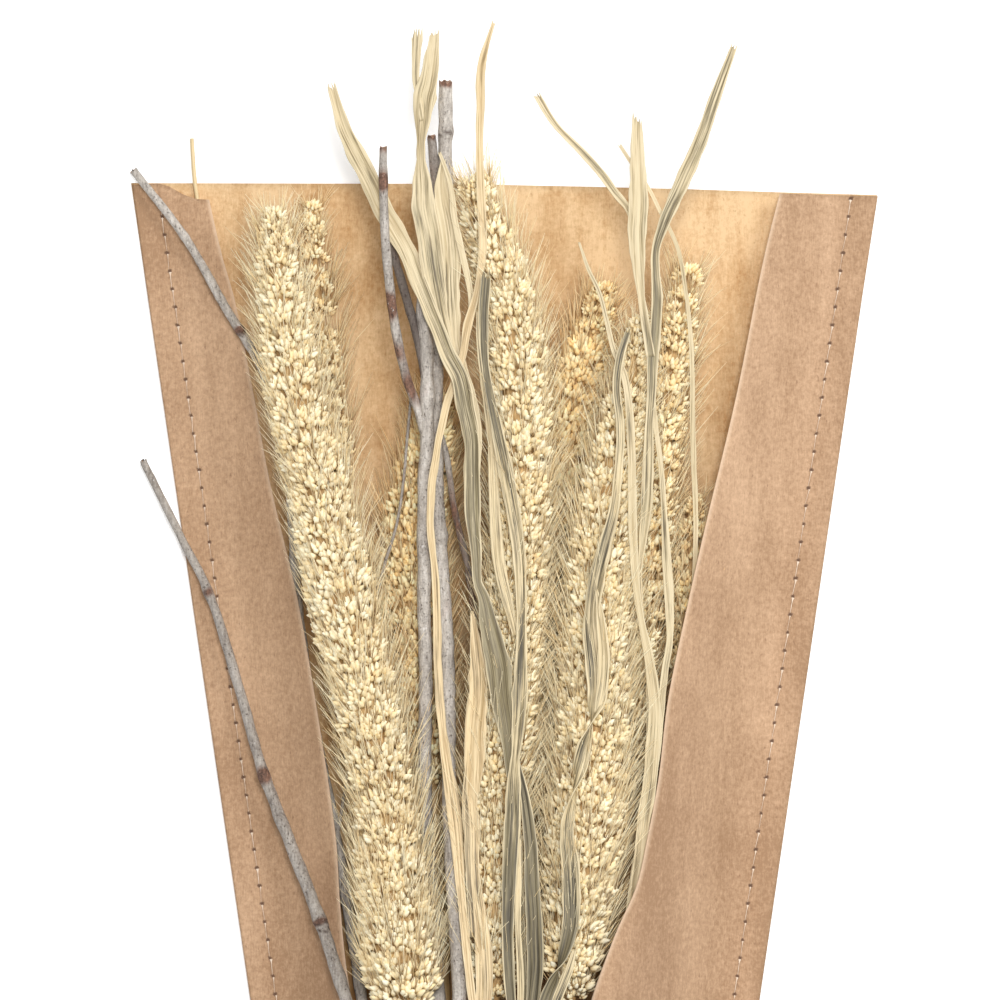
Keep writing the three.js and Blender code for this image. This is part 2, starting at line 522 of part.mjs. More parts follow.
        stations: [[8, 222, 36, 1.9, 0], [13, 214, 35.8, 1.7, 0], [19.8, 207, 35.6, 2, 0],
          [24.8, 201.4, 35.5, 2.1, 0], [28.2, 196.8, 35.5, 2, 0], [32, 192, 35.6, 1.8, 0],
          [34.2, 186, 35.7, 1.4, 0]],
      },
      { // thin stalk-like strip that crosses behind and runs down beside the right flap
        fold: 0,
        stations: [[29.5, 209, 34.2, 0.9, 0], [32.3, 204.6, 34.4, 0.9, 0], [37.1, 197.6, 34.4, 0.9, 0],
          [40.2, 191.4, 34, 1, 0], [42.6, 187, 33.2, 1, 0], [45, 181, 31.6, 1.1, 0],
          [46.8, 171, 29, 1.3, 0], [48, 160, 26.4, 1.6, 0], [48.5, 150, 24.4, 2.2, 0],
          [48.6, 138, 22.2, 2.8, 0], [48.9, 126, 19.8, 2.8, 0], [49.4, 114, 17.6, 2.6, 0],
          [49.2, 100, 16.2, 2.2, 0], [47.4, 75, 16, 1.9, 0], [43.4, 48, 17.4, 1.8, 0],
          [38, 18, 20.6, 1.8, 0], [32, -6, 24.6, 1.8, 0], [28.8, -18, 26.8, 1.8, 0]],
      },
    ],
  },
];

// A box one blade long is laid along the stations, with its far face split like its near one.
function bladeGeometry({ stations, fold }) {
  const curve = curveThrough(stations);
  const count = stations.length - 1;
  const halves = fold > 0 ? 2 : 1;
  const box = new THREE.BoxGeometry(1, 1, 1, halves, count, 1);
  mirrorFarFace(box, halves, count);
  return reshape(box, (p) => {
    const t = THREE.MathUtils.clamp(0.5 - p.y, 0, 1);
    const [, , , width, turn] = stations[Math.round(t * count)];
    const along = curve.getTangent(t);
    const side = new THREE.Vector3().crossVectors(along, new THREE.Vector3(0, 0, 1)).normalize();
    const up = new THREE.Vector3().crossVectors(side, along);
    const roll = THREE.MathUtils.degToRad(turn);
    const out = p.x * width;
    const lift = p.z * BLADE + Math.abs(p.x) * 2 * fold * width;
    const level = out * Math.cos(roll) - lift * Math.sin(roll);
    const raise = out * Math.sin(roll) + lift * Math.cos(roll);
    p.copy(curve.getPoint(t)).addScaledVector(side, -level).addScaledVector(up, raise);
  });
}

// The last group of a box is its far face: its squares are cut along the other diagonal.
function mirrorFarFace(box, columns, rows) {
  const far = box.groups[5];
  const index = box.index;
  for (let k = 0; k < columns * rows; k += 1) {
    const at = far.start + 6 * k;
    const [a, b, d] = [index.getX(at), index.getX(at + 1), index.getX(at + 2)];
    const c = index.getX(at + 4);
    [a, b, c, a, c, d].forEach((corner, n) => index.setX(at + n, corner));
  }
}

for (const plant of LEAFY_STEMS) {
  const curve = curveThrough(withTail(plant.culm, plant.row, plant.column));
  const culm = stem(curve, 0, curve.getLength(), (t) => mix(1, CULM_RADIUS, Math.min(1, t * 4)), 6, 17);
  place(`leafy_stem_${plant.name}`, fuse([culm, ...plant.blades.map(bladeGeometry)]), finish[plant.color]());
}

// ---------------------------------------------------------------- kraft sleeve
// Two tapered sheets sewn together along their sides.  The back one lies flat.  The front one
// stands up over the stems and is cut away in a long opening whose edges form two flaps.
const halfWidth = (y) => SLEEVE_HALF_TOP - SLEEVE_TAPER * (SLEEVE_TOP - y);
const seamX = (y) => halfWidth(y) - SEAM_INSET;

function crown(y) {
  const above = (y - BELLY_Y) / (SLEEVE_TOP - BELLY_Y);
  const below = (BELLY_Y - y) / (BELLY_Y - SLEEVE_BOTTOM);
  return above > 0 ? mix(CROWN_BELLY, CROWN_TOP, above) : mix(CROWN_BELLY, CROWN_BOTTOM, below);
}

function rise(x, y) {
  const ramp = seamX(y) * (x < 0 ? RAMP_LEFT : RAMP_RIGHT);
  return crown(y) * THREE.MathUtils.smoothstep((seamX(y) - Math.abs(x)) / ramp, 0, 1);
}

function backSheet() {
  const outline = new THREE.Shape([
    new THREE.Vector2(-halfWidth(SLEEVE_BOTTOM), SLEEVE_BOTTOM),
    new THREE.Vector2(halfWidth(SLEEVE_BOTTOM), SLEEVE_BOTTOM),
    new THREE.Vector2(SLEEVE_HALF_TOP, SLEEVE_TOP),
    new THREE.Vector2(-SLEEVE_HALF_TOP, SLEEVE_TOP),
  ]);
  return new THREE.ExtrudeGeometry(outline, { depth: SHEET, bevelEnabled: false });
}

// The opening, from the top of the left edge round its lower end to the top of the right edge.
const OPENING = [
  [-77.6, 201], [-73.6, 182], [-70.2, 169], [-65, 143], [-61.1, 122], [-53.8, 91], [-47.6, 55],
  [-43.9, 29], [-42.9, 13], [-41.4, -3], [-39.6, -15], [-38, -27], [-34, -40], [-26, -50],
  [-14, -55], [-1, -50], [11, -38], [19, -22], [23.6, -8], [29, 6], [34, 17], [37, 30],
  [39.8, 45], [42.2, 65], [47.6, 91], [52.4, 112], [59.8, 143], [67.6, 182], [72.2, 201],
];

function frontSheet() {
  const [columns, rows] = [18, 16];
  const top = SLEEVE_TOP - 2;
  const sheet = new THREE.BoxGeometry(1, 1, 1, columns, rows, 1);
  mirrorFarFace(sheet, columns, rows);
  const hem = 1 - 2 / columns;
  reshape(sheet, (p) => {
    const y = mix(SLEEVE_BOTTOM, top, p.y + 0.5);
    const out01 = Math.abs(p.x) * 2;
    const inside = out01 < hem + 1e-6;
    const x = Math.sign(p.x) * (inside ? (out01 / hem) * seamX(y) : halfWidth(y));
    const slopeX = rise(x + 0.5, y) - rise(x - 0.5, y);
    const slopeY = rise(x, y + 0.5) - rise(x, y - 0.5);
    const out = new THREE.Vector3(-slopeX, -slopeY, 1).normalize().multiplyScalar(p.z * SHEET);
    p.set(x, y, 1.5 * SHEET + REST_GAP + rise(x, y)).add(out);
  });
  const opening = new THREE.Shape([
    ...OPENING.map(([x, y]) => new THREE.Vector2(x, y)),
    new THREE.Vector2(72.2, SLEEVE_TOP + 20), new THREE.Vector2(-77.6, SLEEVE_TOP + 20),
  ]);
  const cutter = new THREE.ExtrudeGeometry(opening, { depth: 120, bevelEnabled: false });
  cutter.translate(0, 0, -20);
  return toGeometry(toSolid(sheet).subtract(toSolid(cutter)));
}

function seamThread(hand) {
  const radius = 0.4;
  const z = 2 * SHEET + 2 * REST_GAP + radius;
  const end = (y) => [hand * (seamX(y) + 2 * radius), y, z];
  const line = curveThrough([end(SLEEVE_TOP - 5), end(0), end(SLEEVE_BOTTOM + 5)]);
  return stem(line, 0, line.getLength(), () => radius, 6, 100);
}

place('sleeve_back', backSheet(), finish.kraft());
place('sleeve_front', frontSheet(), finish.kraft());
place('seam_thread_left', fuse([seamThread(-1)]), finish.thread());
place('seam_thread_right', fuse([seamThread(1)]), finish.thread());

// ---------------------------------------------------------------- tie
// Three turns of twine round the stems below the sleeve.
function stemTie() {
  const inner = 2 * PITCH + STALK_RADIUS + 2 * REST_GAP;
  const twine = 0.8;
  const turns = 3;
  const profile = [];
  for (let k = 0; k < turns; k += 1) {
    for (let n = 0; n <= 3; n += 1) {
      const angle = Math.PI * (-0.5 + n / 3);
      const y = (k - (turns - 1) / 2) * 2 * twine + twine * 0.96 * Math.sin(angle);
      profile.push(new THREE.Vector2(inner + twine * (1 + 0.9 * Math.cos(angle)), y));
    }
  }
  profile.push(new THREE.Vector2(inner, turns * twine), new THREE.Vector2(inner, -turns * twine));
  profile.push(profile[0].clone());
  const ring = new THREE.LatheGeometry(profile, 18);
  return ring.translate(0, TIE_Y, BUNCH_Z);
}

place('stem_tie', fuse([stemTie()]), finish.twine());

export default bundle;
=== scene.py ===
"""Dried foxtail millet, bare twigs and long dry leaves in a sewn kraft-paper sleeve, lying on its back.

Sizes are written in millimetres and become metres when a mesh is finished.  +Y runs from the cut
stems to the tips, and +Z is up from the table.
"""
import math

import bmesh
import bpy
import mathutils
import numpy as np
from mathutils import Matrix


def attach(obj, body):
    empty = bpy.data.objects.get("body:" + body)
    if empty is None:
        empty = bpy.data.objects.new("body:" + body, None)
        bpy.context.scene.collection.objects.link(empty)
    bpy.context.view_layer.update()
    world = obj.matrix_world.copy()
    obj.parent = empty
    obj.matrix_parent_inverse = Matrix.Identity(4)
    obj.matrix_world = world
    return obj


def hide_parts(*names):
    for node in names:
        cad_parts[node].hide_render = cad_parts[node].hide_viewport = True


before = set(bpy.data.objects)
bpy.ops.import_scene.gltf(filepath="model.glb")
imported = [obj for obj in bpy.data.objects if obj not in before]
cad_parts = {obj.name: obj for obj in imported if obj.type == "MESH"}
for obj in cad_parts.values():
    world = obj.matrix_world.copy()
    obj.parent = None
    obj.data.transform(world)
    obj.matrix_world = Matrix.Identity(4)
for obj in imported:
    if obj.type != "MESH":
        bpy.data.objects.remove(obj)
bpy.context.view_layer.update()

# ================================================================ sleeve: back sheet
# The back of the sleeve is a flat tapered sheet of brown kraft paper.  Its inner face, which shows
# in the opening, is smoother and more golden than the outer one.
MM = 0.001
SLEEVE_TOP = 199.5
SLEEVE_BOTTOM = -190
SLEEVE_HALF_TOP = 97.2
SLEEVE_TAPER = 0.146
PAPER = 0.32
BACK_LIFT = 0.45
BACK_TOP = [(-97, 199.4), (-14, 199.2), (20, 198.5), (48, 197.8), (72, 197), (97, 196.3)]


def half_width(y):
    """Half the width of the sleeve at y."""
    return SLEEVE_HALF_TOP - SLEEVE_TAPER * (SLEEVE_TOP - y)


def swell(points, wave, seed):
    """A smooth random swell between about -1 and 1, with crests about `wave` apart."""
    random = np.random.default_rng(seed)
    total = np.zeros(len(points))
    for _ in range(8):
        way = random.normal(size=points.shape[1])
        way *= random.uniform(0.6, 1.7) * 2 * math.pi / wave / np.linalg.norm(way)
        total += np.sin(points @ way + random.uniform(0, 6.3))
    return total / 3.6


def blank(*marks):
    """An empty bmesh whose corners carry the named marks, which the finishes read."""
    shape = bmesh.new()
    for mark in marks:
        shape.verts.layers.float.new(mark)
    return shape


def grid(shape, columns, rows):
    """Adds a grid and gives its corners, and how far across and along it each one lies, 0 to 1."""
    corners = bmesh.ops.create_grid(shape, x_segments=columns, y_segments=rows, size=0.5)["verts"]
    spots = np.array([corner.co[:2] for corner in corners]) + 0.5
    return corners, spots[:, 0], spots[:, 1]


def settle(shape, corners, places, **marks):
    """Puts corners at their places and writes their marks."""
    for corner, place in zip(corners, places):
        corner.co = place
    for name, values in marks.items():
        layer = shape.verts.layers.float[name]
        for corner, value in zip(corners, np.broadcast_to(values, len(corners))):
            corner[layer] = value


def dress(name, mesh, finishes, nodes):
    """Puts a mesh in the scene with its finishes, in the place of its CAD nodes."""
    for finish in finishes:
        mesh.materials.append(finish.material)
    made = bpy.data.objects.new(name, mesh)
    bpy.context.scene.collection.objects.link(made)
    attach(made, "root")
    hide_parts(*nodes)


def finish_piece(name, shape, finishes, nodes):
    """Makes the bmesh a piece in metres."""
    bmesh.ops.scale(shape, vec=(MM, MM, MM), verts=shape.verts)
    mesh = bpy.data.meshes.new(name)
    shape.to_mesh(mesh)
    shape.free()
    mesh.polygons.foreach_set("use_smooth", [True] * len(mesh.polygons))
    dress(name, mesh, finishes, nodes)


class Amount:
    """A number that varies over a surface.  Arithmetic on it adds the nodes that work it out."""

    def __init__(self, finish, socket):
        self.finish = finish
        self.socket = socket

    def math(self, operation, *values, clamp=False):
        settings = {"operation": operation, "use_clamp": clamp}
        return self.finish.node("ShaderNodeMath", settings, dict(enumerate(values)))

    def __add__(self, other):
        return self.math("ADD", self, other)

    def __sub__(self, other):
        return self.math("SUBTRACT", self, other)

    def __mul__(self, other):
        return self.math("MULTIPLY", self, other)

    def __truediv__(self, other):
        return self.math("DIVIDE", self, other)

    def __pow__(self, other):
        return self.math("POWER", self, other)

    def __rsub__(self, other):
        return self.math("SUBTRACT", other, self)

    __radd__ = __add__
    __rmul__ = __mul__

    def size(self):
        return self.math("ABSOLUTE", self)

    def between(self, low, high):
        """0 below `low`, 1 above `high` and a straight line between."""
        return self.math("MULTIPLY", self - low, 1 / (high - low), clamp=True)


class Finish:
    """One material, with its colours and maths added node by node."""

    def __init__(self, name, **shader):
        self.material = bpy.data.materials.new(name)
        self.material.use_nodes = True
        self.tree = self.material.node_tree
        self.shader = self.tree.nodes["Principled BSDF"]
        for socket, value in shader.items():
            self.shader.inputs[socket.replace("_", " ")].default_value = value

    def node(self, kind, settings, sockets, output=0):
        made = self.tree.nodes.new(kind)
        for name, value in settings.items():
            if name == "stops":
                self.set_stops(made.color_ramp, value)
            else:
                setattr(made, name, value)
        for name, value in sockets.items():
            if isinstance(value, Amount):
                self.tree.links.new(value.socket, made.inputs[name])
            else:
                made.inputs[name].default_value = value
        return Amount(self, made.outputs[output])

    @staticmethod
    def set_stops(ramp, stops):
        while len(ramp.elements) < len(stops):
            ramp.elements.new(0.5)
        for element, (place, colour) in zip(ramp.elements, stops):
            element.position = place
            element.color = (*colour, 1)

    def mark(self, name):
        return self.node("ShaderNodeAttribute", {"attribute_name": name}, {}, "Fac")

    def place(self):
        return self.node("ShaderNodeTexCoord", {}, {}, "Object")

    def stretched(self, scale, place=None):
        return self.node("ShaderNodeMapping", {}, {"Vector": place or self.place(), "Scale": scale})

    def noise(self, place, scale, detail=4, roughness=0.55):
        sockets = {"Vector": place, "Scale": scale, "Detail": detail, "Roughness": roughness}
        return self.node("ShaderNodeTexNoise", {}, sockets, "Fac")

    def ramp(self, amount, stops):
        return self.node("ShaderNodeValToRGB", {"stops": stops}, {"Fac": amount})

    def mix(self, factor, first, second, blend="MIX"):
        first = first if isinstance(first, Amount) else (*first, 1)
        second = second if isinstance(second, Amount) else (*second, 1)
        settings = {"data_type": "RGBA", "blend_type": blend}
        return self.node("ShaderNodeMix", settings, {0: factor, 6: first, 7: second}, 2)

    def bump(self, height, strength, distance=0.0003):
        sockets = {"Height": height, "Strength": strength, "Distance": distance}
        return self.node("ShaderNodeBump", {}, sockets)

    def wear(self, **channels):
        """Links what varies over the surface to the shader."""
        for socket, value in channels.items():
            self.tree.links.new(value.socket, self.shader.inputs[socket.replace("_", " ")])


SEAM_INSET = 7.5
SEAM_OUT = 0.8
STITCH_PITCH = 4.7
STITCH_START = SLEEVE_BOTTOM + 7


def seam_x(y):
    """Where the front sheet leaves the back one, just inside the stitches."""
    return half_width(y) - SEAM_INSET


def sewn_line(kraft):
    """How strong the painted shade in the needle holes and seam dent, the pulled-in band and the hem are.
    """
    place = kraft.place()
    x, y = (kraft.node("ShaderNodeSeparateXYZ", {}, {"Vector": place}, axis) * 1000 for axis in "XY")
    aside = x.size() - (seam_x(0) + SEAM_OUT) - y * SLEEVE_TAPER
    stitch = (y - STITCH_START) / STITCH_PITCH + 100
    along = (stitch.math("FRACT", stitch) - 0.5) * STITCH_PITCH
    ragged = aside + (kraft.noise(place, 900, 2) - 0.5) * 1.2
    hole = (1.8 - (ragged * ragged + along * along) ** 0.5 / 0.4).between(0, 1)
    dent_shade = (1.2 - aside.size() / 0.35).between(0, 1) * 0.25
    hem = (aside / 5 + 0.6).between(0, 1)
    return hole.math("MAXIMUM", hole, dent_shade), (1 - aside.size() / 2.2).between(0, 1), hem


def kraft_finish(name, light, dark, fleck, clouds, streaks, brow):
    """Unbleached paper: cloudy pulp, short fibres, dark flecks and streaks along the web.

    Painted light makes it paler towards the top, less over the hem.  `brow` darkens it again at the top
    edge.
    """
    kraft = Finish(name)
    cloud = kraft.noise(kraft.stretched((34, 24, 34)), 1, 6, 0.62)
    pulp = kraft.noise(kraft.place(), 850, 3, 0.75)
    fibres = kraft.noise(kraft.stretched((2900, 500, 2900)), 1, 2)
    web = kraft.noise(kraft.stretched((210, 16, 210)), 1, 4, 0.6)
    tone = 0.25 + (pulp - 0.5) * 1.5 + (fibres - 0.5) * 0.8 + (cloud - 0.5) * clouds + (web - 0.5) * streaks
    up = kraft.node("ShaderNodeSeparateXYZ", {}, {"Vector": kraft.place()}, "Y")
    holes, pull, hem = sewn_line(kraft)
    # painted light: paler towards the top and less so over the hem; brow darkens the top edge
    tone = tone + up.between(0, 0.2) * (0.5 - hem * 0.35) - up.between(0.16, 0.19) * brow
    colour = kraft.mix(tone.between(0, 1), dark, light)
    flecks = kraft.noise(kraft.stretched((1500, 700, 1500)), 1, 1).between(0.69, 0.78)
    colour = kraft.mix(flecks * 0.5, colour, fleck)
    # painted highlight along the turned edges of the opening
    colour = kraft.mix(kraft.mark("rim") * 0.6, colour, (0.80, 0.61, 0.44))
    # painted shade: the needle holes and the dent along the seam line are darkened
    colour = kraft.mix(holes * 0.95, colour, (0.11, 0.055, 0.03))
    kraft.wear(
        Base_Color=colour,
        Roughness=0.72 + pulp * 0.16,
        Normal=kraft.bump(pulp * 0.5 + fibres * 0.4 + cloud * 2.5 - pull * 1.2, 0.4, 0.0004),
    )
    return kraft


kraft_inner = kraft_finish(
    "kraft_inner", (0.74, 0.515, 0.288), (0.46, 0.25, 0.095), (0.40, 0.21, 0.08), 3.4, 1.2, 0)
kraft_outer = kraft_finish(
    "kraft_outer", (0.64, 0.42, 0.26), (0.35, 0.205, 0.11), (0.22, 0.115, 0.06), 1.5, 0.6, 0.35)


def thicken(sheet):
    """Gives a sheet its thickness, with the second finish on its underside."""
    if sum(face.normal.z for face in sheet.faces) < 0:
        bmesh.ops.reverse_faces(sheet, faces=sheet.faces)
    bmesh.ops.solidify(sheet, geom=sheet.faces[:], thickness=PAPER)
    bmesh.ops.recalc_face_normals(sheet, faces=sheet.faces)
    for face in sheet.faces:
        face.material_index = 1 if face.normal.z < -0.3 else 0


def along_edge(x, edge):
    """Height of a cut edge of the paper, given as points from left to right, at each x."""
    return np.interp(x, *zip(*edge))


back = blank("rim")
corners, across, along = grid(back, 60, 120)
x = (2 * across - 1) * half_width(SLEEVE_TOP)
y = SLEEVE_BOTTOM + along * (along_edge(x, BACK_TOP) - SLEEVE_BOTTOM)
x = (2 * across - 1) * half_width(y)
spots = np.column_stack([x, y])
lift = BACK_LIFT + 0.1 * swell(spots, 70, 11)
settle(back, corners, np.column_stack([x, y, lift]))
thicken(back)
finish_piece("back_sheet", back, [kraft_inner, kraft_outer], ["sleeve_back"])

# ================================================================ sleeve: front sheet
# The front sheet is sewn to the back one near its side edges and stands up over the stems.  A long
# opening is cut in it, whose edges are turned under a little and form a flap on each side.  A
# painted highlight runs along these turned edges.  A soft fold crosses the right flap.
FRONT_LIFT = 1.02
CROWN_TOP = 30
CROWN_BELLY = 42
CROWN_BOTTOM = 28
BELLY_Y = -55
RAMP_LEFT = 0.8
RAMP_RIGHT = 0.62
APEX = -14
TUCK_DEPTH = 0.55
TUCK_WIDTH = 1.6
HIGHLIGHT_WIDTH = 1.1
CREASE_Y = 164.5
CREASE_WIDTH = 4
TRIM_FROM = 170
OPENING = [
    (-77.6, 201), (-73.6, 182), (-70.2, 169), (-65, 143), (-61.1, 122), (-53.8, 91), (-47.6, 55),
    (-43.9, 29), (-42.9, 13), (-41.4, -3), (-39.6, -15), (-38, -27), (-34, -40), (-26, -50),
    (APEX, BELLY_Y), (-1, -50), (11, -38), (19, -22), (23.6, -8), (29, 6), (34, 17), (37, 30),
    (39.8, 45), (42.2, 65), (47.6, 91), (52.4, 112), (59.8, 143), (67.6, 182), (72.2, 201),
]
FLAP_TOP = [(-97, 198.9), (-90, 199.3), (-87.5, 198.6), (-83.7, 196.4), (-80.2, 195.2), (-76, 195),
            (72, 196.6), (97, 196)]


def rise(x, y):
    """Height of the front sheet over its hem."""
    above = np.clip((y - BELLY_Y) / (SLEEVE_TOP - BELLY_Y), 0, 1)
    below = np.clip((BELLY_Y - y) / (BELLY_Y - SLEEVE_BOTTOM), 0, 1)
    crown = CROWN_BELLY + (CROWN_TOP - CROWN_BELLY) * above + (CROWN_BOTTOM - CROWN_BELLY) * below
    ramp = seam_x(y) * np.where(x < 0, RAMP_LEFT, RAMP_RIGHT)
    t = np.clip((seam_x(y) - np.abs(x)) / ramp, 0, 1)
    return crown * t * t * (3 - 2 * t)


def line_at(stations, t):
    """Points of the smooth line through the stations, with t 0 at the first and 1 at the second."""
    knots = np.array(stations, float)
    ends = [2 * knots[:1] - knots[1:2], knots, 2 * knots[-1:] - knots[-2:-1]]
    padded = np.vstack(ends)
    k = np.clip(np.floor(t).astype(int), 0, len(knots) - 2)
    f = (t - k)[:, None]
    a, b, c, d = (padded[k + n] for n in range(4))
    ab, bc, cd = (np.maximum(np.linalg.norm(q - p, axis=1) ** 0.5, 1e-4)[:, None]
                  for p, q in ((a, b), (b, c), (c, d)))
    leave = ((b - a) / ab - (c - a) / (ab + bc) + (c - b) / bc) * bc
    arrive = ((c - b) / bc - (d - b) / (bc + cd) + (d - c) / cd) * bc
    cube = 2 * b - 2 * c + leave + arrive
    square = 3 * (c - b) - 2 * leave - arrive
    return ((cube * f + square) * f + leave) * f + b


opening = line_at(OPENING, np.linspace(0, len(OPENING) - 1, 600))
lowest = int(np.argmin(opening[:, 1]))
left_edge = opening[:lowest + 1][::-1]
right_edge = opening[lowest:]
apex_y = opening[lowest, 1]
rows_y = np.concatenate([
    np.arange(SLEEVE_BOTTOM, apex_y - 1, 3), np.linspace(apex_y, apex_y + 5, 16)[:-1],
    np.linspace(apex_y + 5, apex_y + 20, 18)[:-1], np.linspace(apex_y + 20, SLEEVE_TOP - 2, 100),
])
columns = 44
front = blank("rim")
corners, across, along = grid(front, 2 * columns + 1, len(rows_y) - 1)
column = np.rint(across * (2 * columns + 1)).astype(int)
y = rows_y[np.rint(along * (len(rows_y) - 1)).astype(int)]
on_left = column <= columns
inner = np.where(on_left, np.interp(y, left_edge[:, 1], left_edge[:, 0]),
                 np.interp(y, right_edge[:, 1], right_edge[:, 0]))
inner = np.where(y <= apex_y, opening[lowest, 0], inner)
outer = np.where(on_left, -half_width(y), half_width(y))
share = np.where(on_left, column, 2 * columns + 1 - column) / columns
share = 1 - (1 - share) ** 1.25
x = outer + (inner - outer) * share
trim = np.clip((y - TRIM_FROM) / (rows_y[-1] - TRIM_FROM), 0, 1)
y = y + (along_edge(x, FLAP_TOP) - rows_y[-1]) * trim
from_edge = np.where(y > apex_y - 0.1, np.abs(inner - x), 50)
tuck = TUCK_DEPTH * np.clip(1 - from_edge / TUCK_WIDTH, 0, 1) ** 2
spots = np.column_stack([x, y])
loose = np.clip((seam_x(y) - np.abs(x)) / 25, 0, 1)
crumple = loose * (0.28 * swell(spots, 46, 5) + 0.16 * swell(spots * [1, 0.35], 17, 6))
crease = np.where(x > 0, (0.06 + 0.6 * loose) * np.exp(-np.abs(y - CREASE_Y) / CREASE_WIDTH), 0)
height = FRONT_LIFT + rise(x, y) + crumple - tuck - crease
settle(front, corners, np.column_stack([x, y, height]), rim=np.clip(1 - from_edge / HIGHLIGHT_WIDTH, 0, 1))
split = [face for face in front.faces if min(column[corner.index] for corner in face.verts) == columns]
bmesh.ops.delete(front, geom=split, context="FACES_ONLY")
bmesh.ops.remove_doubles(front, verts=front.verts, dist=0.001)
thicken(front)
finish_piece("front_sheet", front, [kraft_outer, kraft_inner], ["sleeve_front"])

# ================================================================ sleeve: stitches
# Thin beige thread sewn through both sheets in a straight machine stitch.  Each stitch dives into a
# needle hole at both its ends, and its upper end bulges where the lower thread pulls it in.
STITCH_RADIUS = 0.22
STITCH_HALF = 2.15
STITCH_Z = 1.16


def facets(shape):
    """Corners and three-cornered faces of a small bmesh, for strewing copies of it."""
    bmesh.ops.triangulate(shape, faces=shape.faces)
    shape.verts.index_update()
    corners = np.array([corner.co[:] for corner in shape.verts])
    faces = np.array([[corner.index for corner in face.verts] for face in shape.faces])
    shape.free()
    return corners, faces


def strew(name, template, turns, places, marks, finish, nodes):
    """One piece made of turned and placed copies of a template; marks hold a value per corner."""
    corners, faces = template
    spots = (np.einsum("nij,kj->nki", turns, corners) + places[:, None]).reshape(-1, 3) * MM
    first = np.arange(len(places))[:, None, None] * len(corners)
    loops = (faces[None] + first).reshape(-1)
    mesh = bpy.data.meshes.new(name)
    mesh.vertices.add(len(spots))
    mesh.vertices.foreach_set("co", spots.reshape(-1))
    mesh.loops.add(len(loops))
    mesh.loops.foreach_set("vertex_index", loops)
    mesh.polygons.add(len(loops) // 3)
    mesh.polygons.foreach_set("loop_start", np.arange(0, len(loops), 3))
    mesh.polygons.foreach_set("use_smooth", [True] * (len(loops) // 3))
    for mark, values in marks.items():
        layer = mesh.attributes.new(mark, "FLOAT", "POINT")
        values = np.broadcast_to(values, (len(places), len(corners)))
        layer.data.foreach_set("value", np.ascontiguousarray(values, np.float32).reshape(-1))
    mesh.update(calc_edges=True)
    dress(name, mesh, [finish], nodes)


thread = Finish("sewing_thread", Roughness=0.7)
plies = thread.noise(thread.stretched((2500, 900, 2500)), 1, 2)
thread.wear(
    Base_Color=thread.mix(plies, (0.56, 0.38, 0.25), (0.98, 0.85, 0.70)),
    Normal=thread.bump(plies, 0.5),
)
stitch = bmesh.new()
bmesh.ops.create_uvsphere(stitch, u_segments=8, v_segments=8, radius=1)
spots = np.array([corner.co[:] for corner in stitch.verts])
spots = spots[:, [0, 2, 1]] * [STITCH_RADIUS, STITCH_HALF, STITCH_RADIUS]
spots[:, [0, 2]] *= 0.38 + 6.5 * np.clip(spots[:, 1:2] / STITCH_HALF, 0, 1) ** 6
spots[:, 2] *= 0.6
spots[:, 2] -= 0.2 * (spots[:, 1] / STITCH_HALF) ** 8
settle(stitch, stitch.verts, spots)
stitch = facets(stitch)
for hand, side in ((-1, "left"), (1, "right")):
    random = np.random.default_rng(31 + hand)
    y = np.arange(STITCH_START, SLEEVE_TOP - 6, STITCH_PITCH)
    x = hand * (seam_x(y) + SEAM_OUT) + random.normal(0, 0.05, len(y))
    lean = hand * math.atan(SLEEVE_TAPER) + random.normal(0.04, 0.03, len(y))
    turns = np.zeros((len(y), 3, 3))
    turns[:, 0, 0] = turns[:, 1, 1] = np.cos(lean)
    turns[:, 0, 1] = np.sin(lean)
    turns[:, 1, 0] = -np.sin(lean)
    turns[:, 2, 2] = 1
    turns[:, :, 0] *= random.uniform(0.6, 1.3, len(y))[:, None]
    places = np.column_stack([x, y, np.full(len(y), STITCH_Z)])
    strew(f"stitches_{side}", stitch, turns, places, {}, thread, [f"seam_thread_{side}"])

# ================================================================ twigs
# Bare weathered shoots with ragged broken tips.  Their bark is silver grey with fine cracks and
# pores, and turns red-brown at the nodes and where it has rubbed off.
PITCH = 4.0
BUNCH_Z = 15
GATHER_Y = -150
TIE_Y = -205
CUT_Y = -240
STALK_RADIUS = 1.6


def with_tail(stations, row, column):
    """The stations of a stem, carried on to its own place in the tied bunch and its cut end."""
    x = column * PITCH / 2
    z = BUNCH_Z + row * PITCH * math.sin(math.pi / 3)
    chance = 97 + 13 * row + column
    for _ in range(2):
        chance = (chance * 1664525 + 1013904223) % 4294967296
    last = stations[-1]
    halfway = ((last[0] + x) / 2, (last[1] + GATHER_Y) / 2, (last[2] + z) / 2)
    end = CUT_Y + 12 * chance / 4294967296
    return [*stations, halfway, (x, GATHER_Y, z), (x, TIE_Y, z), (x, end, z)]


class Run:
    """The smooth line through stations, measured along its length, with its level and up ways."""

    def __init__(self, stations):
        fine = line_at([s[:3] for s in stations], np.linspace(0, len(stations) - 1, len(stations) * 60))
        gaps = np.linalg.norm(np.diff(fine, axis=0), axis=1)
        self.marks = np.concatenate([[0], np.cumsum(gaps)])
        self.fine = fine
        self.length = self.marks[-1]

    def at(self, s):
        place = np.column_stack([np.interp(s, self.marks, self.fine[:, k]) for k in range(3)])
        ahead = np.column_stack([np.interp(s + 0.6, self.marks, self.fine[:, k]) for k in range(3)])
        behind = np.column_stack([np.interp(s - 0.6, self.marks, self.fine[:, k]) for k in range(3)])
        way = ahead - behind
        way /= np.linalg.norm(way, axis=1)[:, None]
        side = np.cross(way, [0, 0, 1])
        side /= np.linalg.norm(side, axis=1)[:, None]
        return place, way, side, np.cross(side, way)


